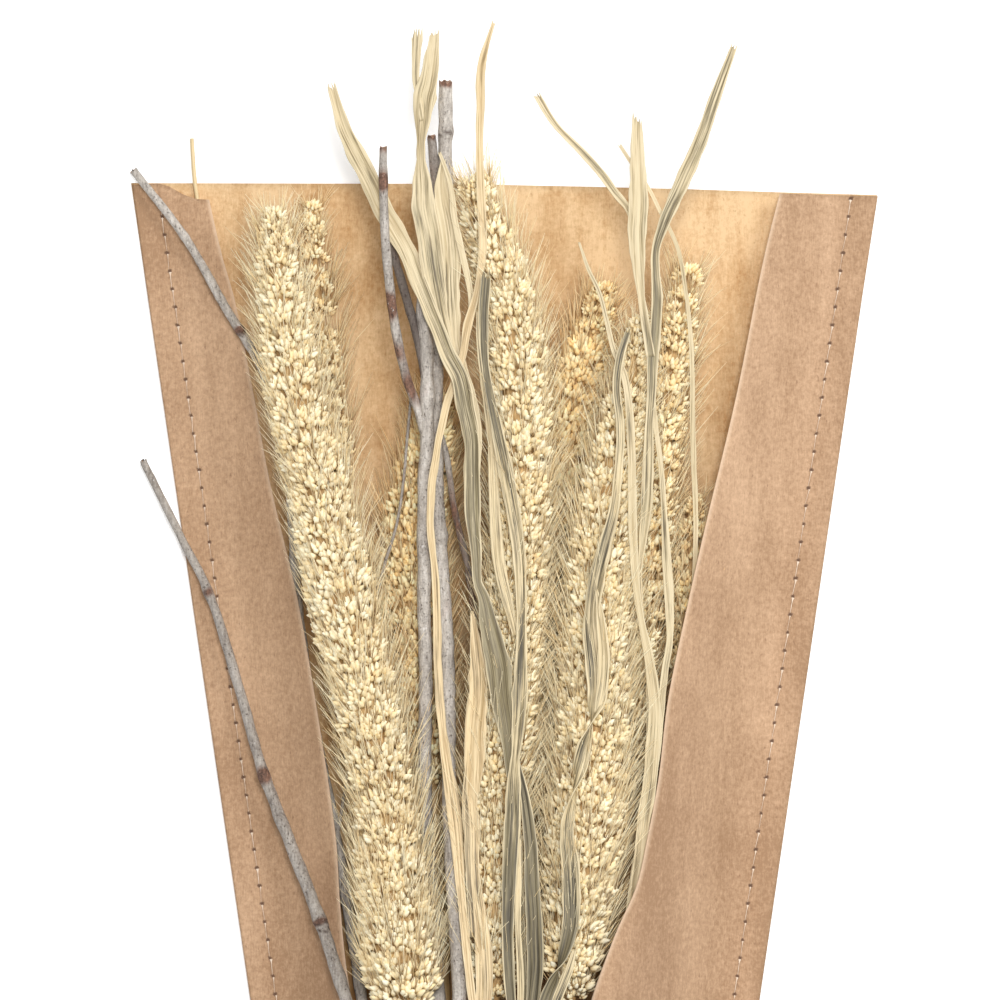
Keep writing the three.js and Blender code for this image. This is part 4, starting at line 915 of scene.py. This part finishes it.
# ================================================================ leafy stems
# Long grass leaves, dried on their culms.  They are thin ribbons with raised pale edges and fine
# ribs, some cream or tan and some grey-green inside, twisted, folded and torn at the ends.
# Each leaf has how deep it is channelled, how green it is from tip to base, and its stations, which
# give x, y, z, its width and its turn in degrees.
LEAFY_STEMS = [
    {
        "number": 1, "slot": "leaf_pale", "row": 1, "column": 1,
        "culm": [(5, -14, 33.6), (5, -30, 32.6)],
        "blades": [
            (0.14, (0.05, 0.1, 0.3, 0.6, 0.9, 1.0, 0.9), [
                (-45, 224.5, 35, 2, 0), (-41.6, 213, 34, 3.6, 5), (-39, 207.5, 33.2, 4.6, 8),
                (-35.1, 200, 32.2, 5, 8), (-31.7, 192.5, 31.3, 5, 4), (-28.3, 186.7, 31.5, 5, 0),
                (-25.2, 181, 32.4, 4.8, 0), (-22.4, 173.7, 33.4, 4.2, 0), (-20, 167.7, 34.2, 4.1, 0),
                (-17.7, 162.2, 35, 3.8, 0), (-14.6, 154.4, 35.9, 4.1, 0), (-11.7, 148.7, 36.2, 4.6, 0),
                (-10.1, 141, 36.2, 5, 10), (-8.5, 133, 36.2, 4.2, 12), (-8.4, 125, 36.2, 4.4, 8),
                (-8.3, 114, 36.2, 4.1, 5), (-7.5, 103.5, 36.6, 2.8, 0), (-7, 95.7, 36.9, 2.2, 0),
                (-5.5, 91.5, 37.1, 3, 0), (-3.9, 83.7, 37.4, 5, 0), (-1.6, 73.6, 37.7, 6.8, 0),
                (-0.7, 65, 37.7, 6, 5), (0.5, 57, 37.4, 3.8, 0), (2, 45, 36.3, 3, 0),
                (3, 30, 35.2, 2.4, 0), (4, 8, 34.2, 2.2, 0), (5, -18, 33.2, 2, 0)]),
            (0.1, (0.1, 0.25, 0.35, 0.25), [
                (-18.2, 238.4, 37, 2.3, 0), (-18.9, 231.4, 36.6, 3.7, 0), (-19.8, 225, 36.1, 4.6, 0),
                (-20.7, 221.4, 35.7, 5.8, 0), (-21.2, 215, 35, 4.2, 20), (-21.6, 209.5, 34.6, 2.7, 35),
                (-21.7, 205, 34.3, 2.3, 20), (-21.4, 199, 34, 4.6, 0), (-21.2, 193, 33.8, 6, 0),
                (-19.9, 186, 33.6, 6, 0), (-19, 179.4, 33.3, 5.8, 0), (-17.9, 172.6, 33, 5.2, 0),
                (-16.8, 166.4, 32.8, 4, 0), (-15.4, 160, 32.6, 3, 0), (-14.2, 155, 32.5, 2.2, 0)]),
            (0, (0.0, 0.05), [
                (-22.6, 239, 37.2, 3, 0), (-23, 231.4, 36.6, 2.2, 0), (-23, 225, 36.2, 1.7, 0),
                (-22.2, 220, 35.7, 1.4, 0), (-21.4, 215, 35.1, 1.2, 0)]),
            (0.1, (0.1, 0.1, 0.0), [
                (-16, 205, 33.8, 1, 0), (-16.4, 199, 33.6, 3, 0), (-16, 194.5, 33.4, 4.6, 0),
                (-14.6, 187, 33.2, 5.1, 0), (-13.9, 179.4, 33, 5.2, 0), (-13.8, 172.6, 32.8, 4, 0),
                (-13.3, 163.8, 32.6, 3.6, 0), (-12.9, 157.3, 32.4, 3.2, 0), (-10.8, 150.8, 32.6, 2.2, 0),
                (-8.8, 144.8, 33.4, 2, 0), (-7.2, 137.7, 34.4, 2, 0), (-7, 131, 35.4, 2, 0),
                (-7.8, 123, 36.2, 1.8, 0)]),
            (0, (0.15, 0.0, 0.0), [
                (-17, 207, 34.6, 0.8, 0), (-14.2, 199, 34.6, 1.3, 0), (-13, 189.3, 34.4, 1.7, 0),
                (-10.9, 179.9, 34, 1.7, 0), (-8.8, 169, 33.5, 1.4, 0), (-9.6, 161, 33.2, 1.2, 0),
                (-11.3, 152, 33, 1, 0)]),
        ],
    },
    {
        "number": 2, "slot": "leaf_tan", "row": 2, "column": -2,
        "culm": [(-7.6, -14, 37.2), (-7, -30, 35.6)],
        "blades": [
            (0.06, (0.0, 0.0, 0.1, 0.0), [
                (-2.9, 240.6, 39, 0.9, 0), (-4.7, 234.7, 38.4, 1.4, 0), (-6.1, 229, 37.8, 2.4, 15),
                (-6.3, 220, 36.8, 2.3, 10), (-6.6, 209, 35.8, 1.8, 0), (-6.4, 200, 35, 2.1, 0),
                (-5.9, 190, 34.5, 2.2, 0), (-5.9, 180, 34.3, 2.1, 0), (-7.4, 170.5, 34.1, 1.6, 0),
                (-9.6, 162.2, 34.1, 2.4, 0), (-11.3, 153, 34.1, 1.8, 0), (-14.8, 142.7, 33.6, 2, 0),
                (-17.4, 131, 32.6, 1.9, 0), (-19, 119.5, 31.5, 2.2, 0), (-19.3, 110, 30.6, 1.9, 0),
                (-18.1, 98, 29.6, 1.9, 0), (-17.6, 87, 28.9, 2.2, 0), (-17.4, 75.7, 28.6, 2.2, 0),
                (-16.7, 63, 28.9, 2.3, 0), (-15.5, 52, 30, 2.5, 0), (-13.9, 41, 31.4, 3.6, 0),
                (-12.8, 32.5, 32.6, 3.6, 0), (-12, 23, 33.6, 2.8, 0), (-11, 12, 34.8, 2.2, 0),
                (-9.9, 0, 36, 2.2, 0), (-8, -16, 37, 2, 0)]),
            (0.08, (0.0, 0.1, 0.1), [
                (-8.4, 88, 35.6, 0.9, 0), (-7.4, 78, 35.9, 3.4, 8), (-6.9, 71.8, 36, 4.8, 8),
                (-7, 65, 35.8, 5.2, 8), (-7.6, 58, 35.6, 5.8, 6), (-7.9, 50, 35.2, 5.4, 4),
                (-8.2, 44, 35, 4, 0), (-8.4, 39, 34.9, 2.6, 0), (-7.8, 32, 34.9, 2.6, 0),
                (-7.8, 22, 35.3, 2.2, 0), (-6.4, 9, 36, 3.2, 0), (-5.5, 0, 36.2, 4.4, 0),
                (-5.4, -10, 36.5, 4.2, 0), (-6.6, -22, 36.4, 2.6, 0)]),
            (0, (0.4, 0.6), [
                (-8.6, 52, 35, 2.2, 0), (-9.6, 46, 34.6, 2, 0), (-10.2, 38, 34.4, 1.8, 0),
                (-9.8, 30, 34.6, 1.8, 0), (-9.2, 18, 35.2, 1.6, 0), (-8.4, 4, 36, 1.8, 0)]),
        ],
    },
    {
        "number": 3, "slot": "leaf_grey", "row": 2, "column": 0,
        "culm": [(3.8, -14, 37), (3.4, -30, 36)],
        "blades": [
            (0.12, (0.8, 0.75, 0.45, 0.3, 0.3, 0.5, 0.9, 1.0), [
                (-4.8, 175.6, 36.5, 2.8, 0), (-5.6, 163, 36.2, 2.6, 0), (-5, 151, 36.2, 2, 0),
                (-3.4, 142, 36.5, 2.4, 0), (-1.8, 134, 37, 3, 0), (-0.3, 127, 37.5, 3.8, 0),
                (1.4, 118, 38, 3.9, 0), (3.1, 108, 38.3, 3.5, 0), (4, 98, 38.6, 3, 0),
                (4.3, 86, 38.9, 2.6, 0), (4.2, 76, 39.2, 3, 0), (3.9, 67, 39.5, 4.2, 0),
                (3.4, 59, 39.7, 3.4, 0), (2.7, 51, 39.6, 2.2, 0), (2.2, 44, 39.2, 3.6, 0),
                (1.8, 33, 38.7, 4.2, 0), (1.1, 20, 38.4, 3.8, 0), (0.7, 6, 38.2, 3, 0),
                (1.2, -8, 37.8, 2.8, 0), (2.6, -22, 36.8, 2, 0)]),
            (0.12, (0.9, 1.0, 0.8), [
                (3, 50, 39.4, 1.2, 0), (4.6, 43, 38.8, 2, 0), (5.7, 36, 38.4, 2.9, 0),
                (6.6, 28, 38.1, 3.4, 0), (7, 18, 37.8, 3.8, 0), (7.6, 7, 37.4, 4.4, 0),
                (7.8, -5, 36.9, 4.2, 0), (6, -20, 36.4, 3, 0), (4, -30, 36.2, 2, 0)]),
            (0, (0.0, 0.1), [
                (3.6, 30, 38.2, 1, 0), (3.4, 18, 37.9, 1.8, 0), (3.4, 6, 37.6, 1.6, 0),
                (4, -8, 37.2, 1.8, 0), (3.8, -20, 36.8, 1.6, 0)]),
            (0, (0.0, 0.15), [
                (-7, 166, 35.5, 1, 0), (-6.6, 158, 35.7, 1.6, 0), (-5.6, 148.7, 35.8, 1.8, 0),
                (-4.4, 140, 36.2, 2, 0), (-3.4, 132, 36.6, 2.4, 0), (-3, 122, 36.8, 2.6, 4),
                (-2.4, 110, 37, 3, 4), (-1.4, 100, 37.4, 3.2, 0), (0.6, 91, 38, 2.6, 0),
                (2.8, 82, 38.6, 1.8, 0)]),
        ],
    },
    {
        "number": 4, "slot": "leaf_grey", "row": 2, "column": 2,
        "culm": [(9, -20, 38.6), (8, -34, 36.6)],
        "blades": [
            (0.1, (0.6, 0.35, 0.35, 0.2, 0.2, 0.35, 0.6, 1.0, 1.0), [
                (31.9, 161, 37.4, 1.6, 0), (29.6, 153.4, 38, 2.2, 0), (28.8, 146, 38.4, 2.1, 0),
                (29.8, 136, 38.6, 2.1, 0), (29.3, 124.8, 38.8, 2.1, 0), (28, 114, 38.8, 2.6, 0),
                (25.4, 104, 38.9, 3.6, 0), (23.6, 95.7, 39, 4.4, 15), (22.6, 88, 39, 4, 20),
                (23.1, 80, 39.2, 5.6, 10), (23.9, 72.5, 39.2, 6, 0), (23.9, 66, 39.2, 5, 0),
                (22.8, 60.6, 39.3, 3.4, 75), (20.8, 54, 39.3, 4.2, 150), (19.4, 48.5, 39.2, 4.2, 200),
                (18, 42.5, 39, 3.8, 270), (16.5, 36, 38.8, 3.4, 330), (16, 30, 38.6, 3.6, 360),
                (16.7, 24, 38.4, 4.6, 360), (17.2, 14, 38.3, 4.7, 360), (16.9, 7, 38.4, 4.3, 360),
                (15, -1, 38.9, 3.6, 405), (12.4, -7.5, 39.2, 3.6, 500), (10.2, -14, 39, 3.4, 540),
                (9, -24, 38.4, 2.4, 540)]),
            (0, (0.2, 0.3), [
                (18, 1, 37.6, 1, 0), (16.2, -5, 38, 2.4, 0), (13.4, -12, 38.6, 2.6, 0),
                (9.6, -22, 38.4, 2, 0)]),
            (0.1, (0.05, 0.0, 0.1), [
                (23.6, 94, 39.5, 0.7, 0), (24.7, 86, 40, 2.2, 0), (25.5, 77, 40.2, 3.2, 0),
                (25, 69, 40.1, 2.8, 0), (23.6, 62, 40, 1.2, 0)]),
        ],
    },
    {
        "number": 5, "slot": "leaf_pale", "row": 1, "column": 3,
        "culm": [(29, -12, 27), (27, -30, 26.6)],
        "blades": [
            (0.1, (0.5, 0.3, 0.1, 0.05, 0.0, 0.0, 0.3), [
                (19.1, 183.6, 37.6, 0.5, 0), (21.6, 176.5, 37, 0.9, 0), (24.2, 171, 36.6, 1, 0),
                (26.2, 163.5, 36.3, 1.1, 0), (28, 156, 36.2, 1.3, 0), (30.8, 149, 36.4, 1.7, 0),
                (32, 141, 36.8, 1.9, 0), (32.6, 131, 36.9, 2.1, 0), (32.8, 120, 36.7, 2.2, 0),
                (33, 109, 36, 2.3, 0), (33.8, 96, 34.4, 1.9, 0), (35, 87, 32.8, 1.7, 0),
                (36.7, 79, 31.4, 2.2, 0), (38, 71, 30.2, 2.7, 0), (38.7, 62, 29.4, 3.2, 0),
                (38.2, 53, 28.8, 3.6, 0), (37.4, 44, 28.2, 3.6, 0), (36, 35, 27.8, 3.4, 0),
                (34.8, 25, 27.6, 3, 0), (33.2, 14, 27.4, 2.4, 0), (31, 2, 27.2, 2.2, 0),
                (29, -14, 27, 2, 0)]),
            (0.12, (0.0, 0.1, 0.1, 0.3), [
                (34.1, 216, 37.6, 2.4, 0), (34.2, 208, 37.2, 3.2, 0), (34.4, 199, 36.8, 4.4, 0),
                (34.5, 193, 36.5, 5.2, 0), (34.1, 186, 36.2, 4.7, 0), (34.5, 178, 36, 3.2, 10),
                (35.2, 170, 35.9, 1.9, 20), (36.4, 162, 35.8, 2.2, 10), (37.6, 154, 35.6, 2.2, 0)]),
            (0.12, (0.3, 0.5, 0.7, 0.7, 0.5, 0.3, 0.4, 0.4), [
                (59.3, 234.5, 35, 1.6, 0), (54.8, 222.3, 35.2, 2.8, 0), (50.3, 209.5, 35.2, 3.5, 0),
                (45.3, 198, 35.1, 3.8, 0), (41.7, 190, 35, 3, 0), (39, 182, 35, 2.1, 0),
                (38.9, 176, 35, 2.2, 0), (39.3, 170, 35.1, 2.8, 0), (38.9, 162, 35.2, 2.8, 0),
                (38.2, 153.4, 35.4, 3, 0), (37.9, 146, 35.5, 2.4, 0), (37.3, 137, 35.2, 2, 0),
                (37, 127.4, 34.6, 2.8, 0), (36.6, 116, 33.4, 3, 0), (35.7, 107, 32.4, 2, 0),
                (35, 99, 31.4, 0.9, 0), (35.6, 84, 30.4, 0.8, 0), (37, 68, 28.6, 0.8, 0),
                (36.4, 44, 26.9, 1, 0), (32.4, 14, 26.6, 1.4, 0), (29, -14, 27, 1.6, 0)]),
            (0, (0.1, 0.1), [
                (38, 147, 35.3, 1.2, 0), (39, 136, 34.5, 1.3, 0), (40.3, 126, 33.4, 1.3, 0),
                (41.2, 113, 32, 1.5, 0), (41.8, 103, 31.2, 2.4, 0), (42.4, 92, 30.6, 2.5, 0),
                (42.6, 81, 30.2, 1.7, 0), (41.3, 72, 29.8, 1.8, 0), (40.2, 62, 29, 2, 0),
                (39.4, 52, 28, 1.8, 0), (37.8, 40, 26.6, 1.6, 0)]),
            (0.1, (0.2, 0.3), [
                (8, 222, 36, 1.9, 0), (13, 214, 35.8, 1.7, 0), (19.8, 207, 35.6, 2, 0),
                (24.8, 201.4, 35.5, 2.1, 0), (28.2, 196.8, 35.5, 2, 0), (32, 192, 35.6, 1.8, 0),
                (34.2, 186, 35.7, 1.4, 0)]),
            (0, (0.1, 0.1, 0.0, 0.1), [
                (29.5, 209, 34.2, 0.9, 0), (32.3, 204.6, 34.4, 0.9, 0), (37.1, 197.6, 34.4, 0.9, 0),
                (40.2, 191.4, 34, 1, 0), (42.6, 187, 33.2, 1, 0), (45, 181, 31.6, 1.1, 0),
                (46.8, 171, 29, 1, 0), (48, 160, 26.4, 1.1, 0), (48.5, 150, 24.4, 1.2, 0),
                (48.6, 138, 22.2, 1.4, 0), (48.9, 126, 19.8, 1.4, 0), (49.4, 114, 17.6, 1.3, 0),
                (49.2, 100, 16.2, 1.2, 0), (47.4, 75, 16, 1.2, 0), (43.4, 48, 17.4, 1.4, 0),
                (38, 18, 20.6, 1.8, 0), (32, -6, 24.6, 1.8, 0), (28.8, -18, 26.8, 1.8, 0)]),
        ],
    },
]
LEAF = 0.22
EDGE_WIDTH = 0.34


def leaf_finish(name, fair, shade, green, deep):
    """Ribbed dry leaf: fair and shade where it is bleached, green and deep where it is grey-green."""
    leaf = Finish(name, Roughness=0.55)
    across, along = leaf.mark("across"), leaf.mark("along")
    lanes = {"X": across * 2.4, "Y": along * 0.045, "Z": leaf.mark("seed") * 20}
    ribs = leaf.noise(leaf.node("ShaderNodeCombineXYZ", {}, lanes), 1, 4, 0.7)
    spots = {"X": across * 3, "Y": along * 0.4, "Z": leaf.mark("seed") * 9}
    cloud = leaf.noise(leaf.node("ShaderNodeCombineXYZ", {}, spots), 0.11, 4)
    edge = leaf.mark("edge")
    bleached = leaf.mix(ribs.between(0.40, 0.56), shade, fair)
    weathered = leaf.mix(ribs.between(0.40, 0.60), deep, green)
    patchy = leaf.mark("green") * 1.1 + (cloud - 0.5) * 1.8 - (ribs - 0.5) * 2.4 - edge
    greenness = patchy.between(0.1, 0.7)
    colour = leaf.mix(greenness, bleached, weathered)
    colour = leaf.mix(edge * 0.45, colour, (0.84, 0.73, 0.50))
    leaf.wear(Base_Color=colour, Normal=leaf.bump(ribs, 0.55, 0.0002))
    return leaf


LEAF_FINISHES = {
    "leaf_pale": leaf_finish(
        "pale_leaf", (0.69, 0.575, 0.365), (0.50, 0.385, 0.21), (0.335, 0.28, 0.16), (0.13, 0.10, 0.052)),
    "leaf_tan": leaf_finish(
        "tan_leaf", (0.77, 0.60, 0.35), (0.48, 0.33, 0.155), (0.42, 0.33, 0.19), (0.16, 0.115, 0.06)),
    "leaf_grey": leaf_finish(
        "grey_leaf", (0.72, 0.585, 0.35), (0.40, 0.30, 0.15), (0.255, 0.21, 0.12), (0.062, 0.049, 0.027)),
}


def blade(shape, stations, fold, greens, seed):
    """One ribbon leaf through stations of (x, y, z, width, turn), channelled by `fold`."""
    table = np.array(stations, float)
    last = len(stations) - 1
    columns, rows = 12, last * 9
    corners, across, along = grid(shape, columns, rows)
    t = along * last
    place = line_at(table[:, :3], t)
    ahead = line_at(table[:, :3], np.minimum(t + 0.02, last))
    way = unit(ahead - line_at(table[:, :3], np.maximum(t - 0.02, 0)))
    side = unit(np.cross(way, [0, 0, 1]))
    up = np.cross(side, way)
    width = np.interp(t, range(last + 1), table[:, 3])
    turn = np.radians(np.interp(t, range(last + 1), table[:, 4]))
    u = 1 - 2 * across
    run = np.linalg.norm(place - table[0, :3], axis=1)
    lane = np.column_stack([u * 1.4 + seed * 3, run / 14])
    ragged = swell(np.column_stack([np.sign(u) * 5 + seed, run / 5]), 1.6, seed)
    out = u * width / 2 * (1 + 0.09 * ragged * (np.abs(u) > 0.9))
    lift = np.abs(u) * fold * width * 1.1
    flute = np.clip(width / 4, 0.25, 1) * width
    waves = np.cos(u * math.pi * 3.2 + 0.8 * swell(lane, 6, seed + 3))
    lift += 0.036 * flute * waves * (1 - 0.4 * np.abs(u))
    lift += 0.04 * flute * swell(lane, 2.2, seed + 5)
    level = out * np.cos(turn) - lift * np.sin(turn)
    raised = out * np.sin(turn) + lift * np.cos(turn)
    tear = 0.5 + 1.3 * swell(np.column_stack([u * 2 + seed, u]), 0.9, seed)
    torn = tear * np.clip(1 - t * 1.2, 0, 1) * 0.5 * width
    spots = place - side * level[:, None] + up * raised[:, None] + way * torn[:, None]
    edge = np.clip(1.15 - (1 - np.abs(u)) * width / 2 / EDGE_WIDTH, 0, 1)
    settle(shape, corners, spots, across=out + seed * 7, along=run, edge=edge, seed=seed * 0.37,
           green=np.interp(t / last, np.linspace(0, 1, len(greens)), greens))


for plant in LEAFY_STEMS:
    number = plant["number"]
    shape = blank("across", "along", "edge", "seed", "green")
    for k, (fold, greens, stations) in enumerate(plant["blades"]):
        blade(shape, stations, fold, greens, 10 * number + k)
    bmesh.ops.recalc_face_normals(shape, faces=shape.faces)
    bmesh.ops.solidify(shape, geom=shape.faces[:], thickness=LEAF)
    run = Run(with_tail(plant["culm"], plant["row"], plant["column"]))
    tube(shape, run, 0, run.length, 10, 5,
         lambda s, angle, places: 1 + 0.5 * np.minimum(1, s / run.length * 4),
         across=lambda s, angle, places: angle * 1.5, along=lambda s, angle, places: s,
         edge=0.0, seed=float(number), green=0.15)
    slot = plant["slot"]
    finish_piece(f"leaves_{number}", shape, [LEAF_FINISHES[slot]], [f"leafy_stem_{number}"])

# ================================================================ tie
# Three turns of jute twine hold the stems together just below the sleeve.  The twine is a coarse brown
# cord of two plies, laid round each other.
TWINE = 0.8
WRAPS = 3
WRAP_PITCH = 1.6
PLY_TURNS = 22
twine = Finish("jute_twine", Roughness=0.85)
hairs = twine.noise(twine.stretched((1800, 1800, 1800)), 1, 3)
colour = twine.mix(hairs, (0.34, 0.20, 0.08), (0.70, 0.50, 0.27))
twine.wear(Base_Color=colour, Normal=twine.bump(hairs, 0.9))
wrap = 2 * PITCH + STALK_RADIUS + 0.6 + TWINE
shape = blank()
rows, sides = 660, 8
corners, around, along = grid(shape, sides, rows)
turn = along * 2 * math.pi * WRAPS
radial = np.column_stack([np.cos(turn), np.zeros(len(turn)), np.sin(turn)])
angle = around * 2 * math.pi
ply = TWINE * (0.84 + 0.16 * np.cos(2 * (angle - turn * PLY_TURNS)))
places = radial * (wrap + np.cos(angle) * ply)[:, None]
places[:, 1] = TIE_Y + WRAP_PITCH * WRAPS * (along - 0.5) + np.sin(angle) * ply
places[:, 2] += BUNCH_Z
settle(shape, corners, places)
close_round(shape, corners, around)
finish_piece("twine_tie", shape, [twine], ["stem_tie"])

# ================================================================ floor, light and camera
# A white table top, soft lights from above and from the upper right, white walls all round and a long
# lens that looks straight down on the upper part of the bundle, all placed in metres.
TABLE_HALF = 6
TABLE_Z = -0.0004
floor = bmesh.new()
bmesh.ops.create_grid(floor, x_segments=1, y_segments=1, size=TABLE_HALF)
mesh = bpy.data.meshes.new("table_top")
floor.to_mesh(mesh)
floor.free()
table = bpy.data.objects.new("table_top", mesh)
table.location.z = TABLE_Z
bpy.context.scene.collection.objects.link(table)
white = Finish("white_top", Roughness=0.95, Specular_IOR_Level=0.0, Base_Color=(0.95, 0.95, 0.95, 1),
               Emission_Color=(1, 1, 1, 1), Emission_Strength=0.16)
mesh.materials.append(white.material)

world = bpy.data.worlds.new("studio")
world.use_nodes = True
world.node_tree.nodes["Background"].inputs["Color"].default_value = (1, 1, 1, 1)
world.node_tree.nodes["Background"].inputs["Strength"].default_value = 0.36
bpy.context.scene.world = world

VIEW_CENTRE = (-0.0013, 0.117)


def soft_box(name, place, size, power):
    lamp = bpy.data.lights.new(name, "AREA")
    lamp.shape = "SQUARE"
    lamp.size = size
    lamp.energy = power
    made = bpy.data.objects.new(name, lamp)
    made.location = place
    ahead = mathutils.Vector((*VIEW_CENTRE, 0)) - made.location
    made.rotation_euler = ahead.to_track_quat("-Z", "Y").to_euler()
    bpy.context.scene.collection.objects.link(made)


soft_box("overhead", (0.1, 0.35, 2), 0.45, 29)
soft_box("window", (0.8, 0.65, 1.3), 0.6, 9.5)

VIEW_WIDTH = 0.26
HEIGHT = 6
SENSOR = 36
lens = bpy.data.cameras.new("view")
lens.sensor_width = SENSOR
lens.lens = SENSOR * HEIGHT / VIEW_WIDTH
lens.clip_end = 20
camera = bpy.data.objects.new("view", lens)
camera.location = (*VIEW_CENTRE, HEIGHT)
bpy.context.scene.collection.objects.link(camera)
bpy.context.scene.camera = camera
bpy.context.scene.view_settings.view_transform = "Standard"
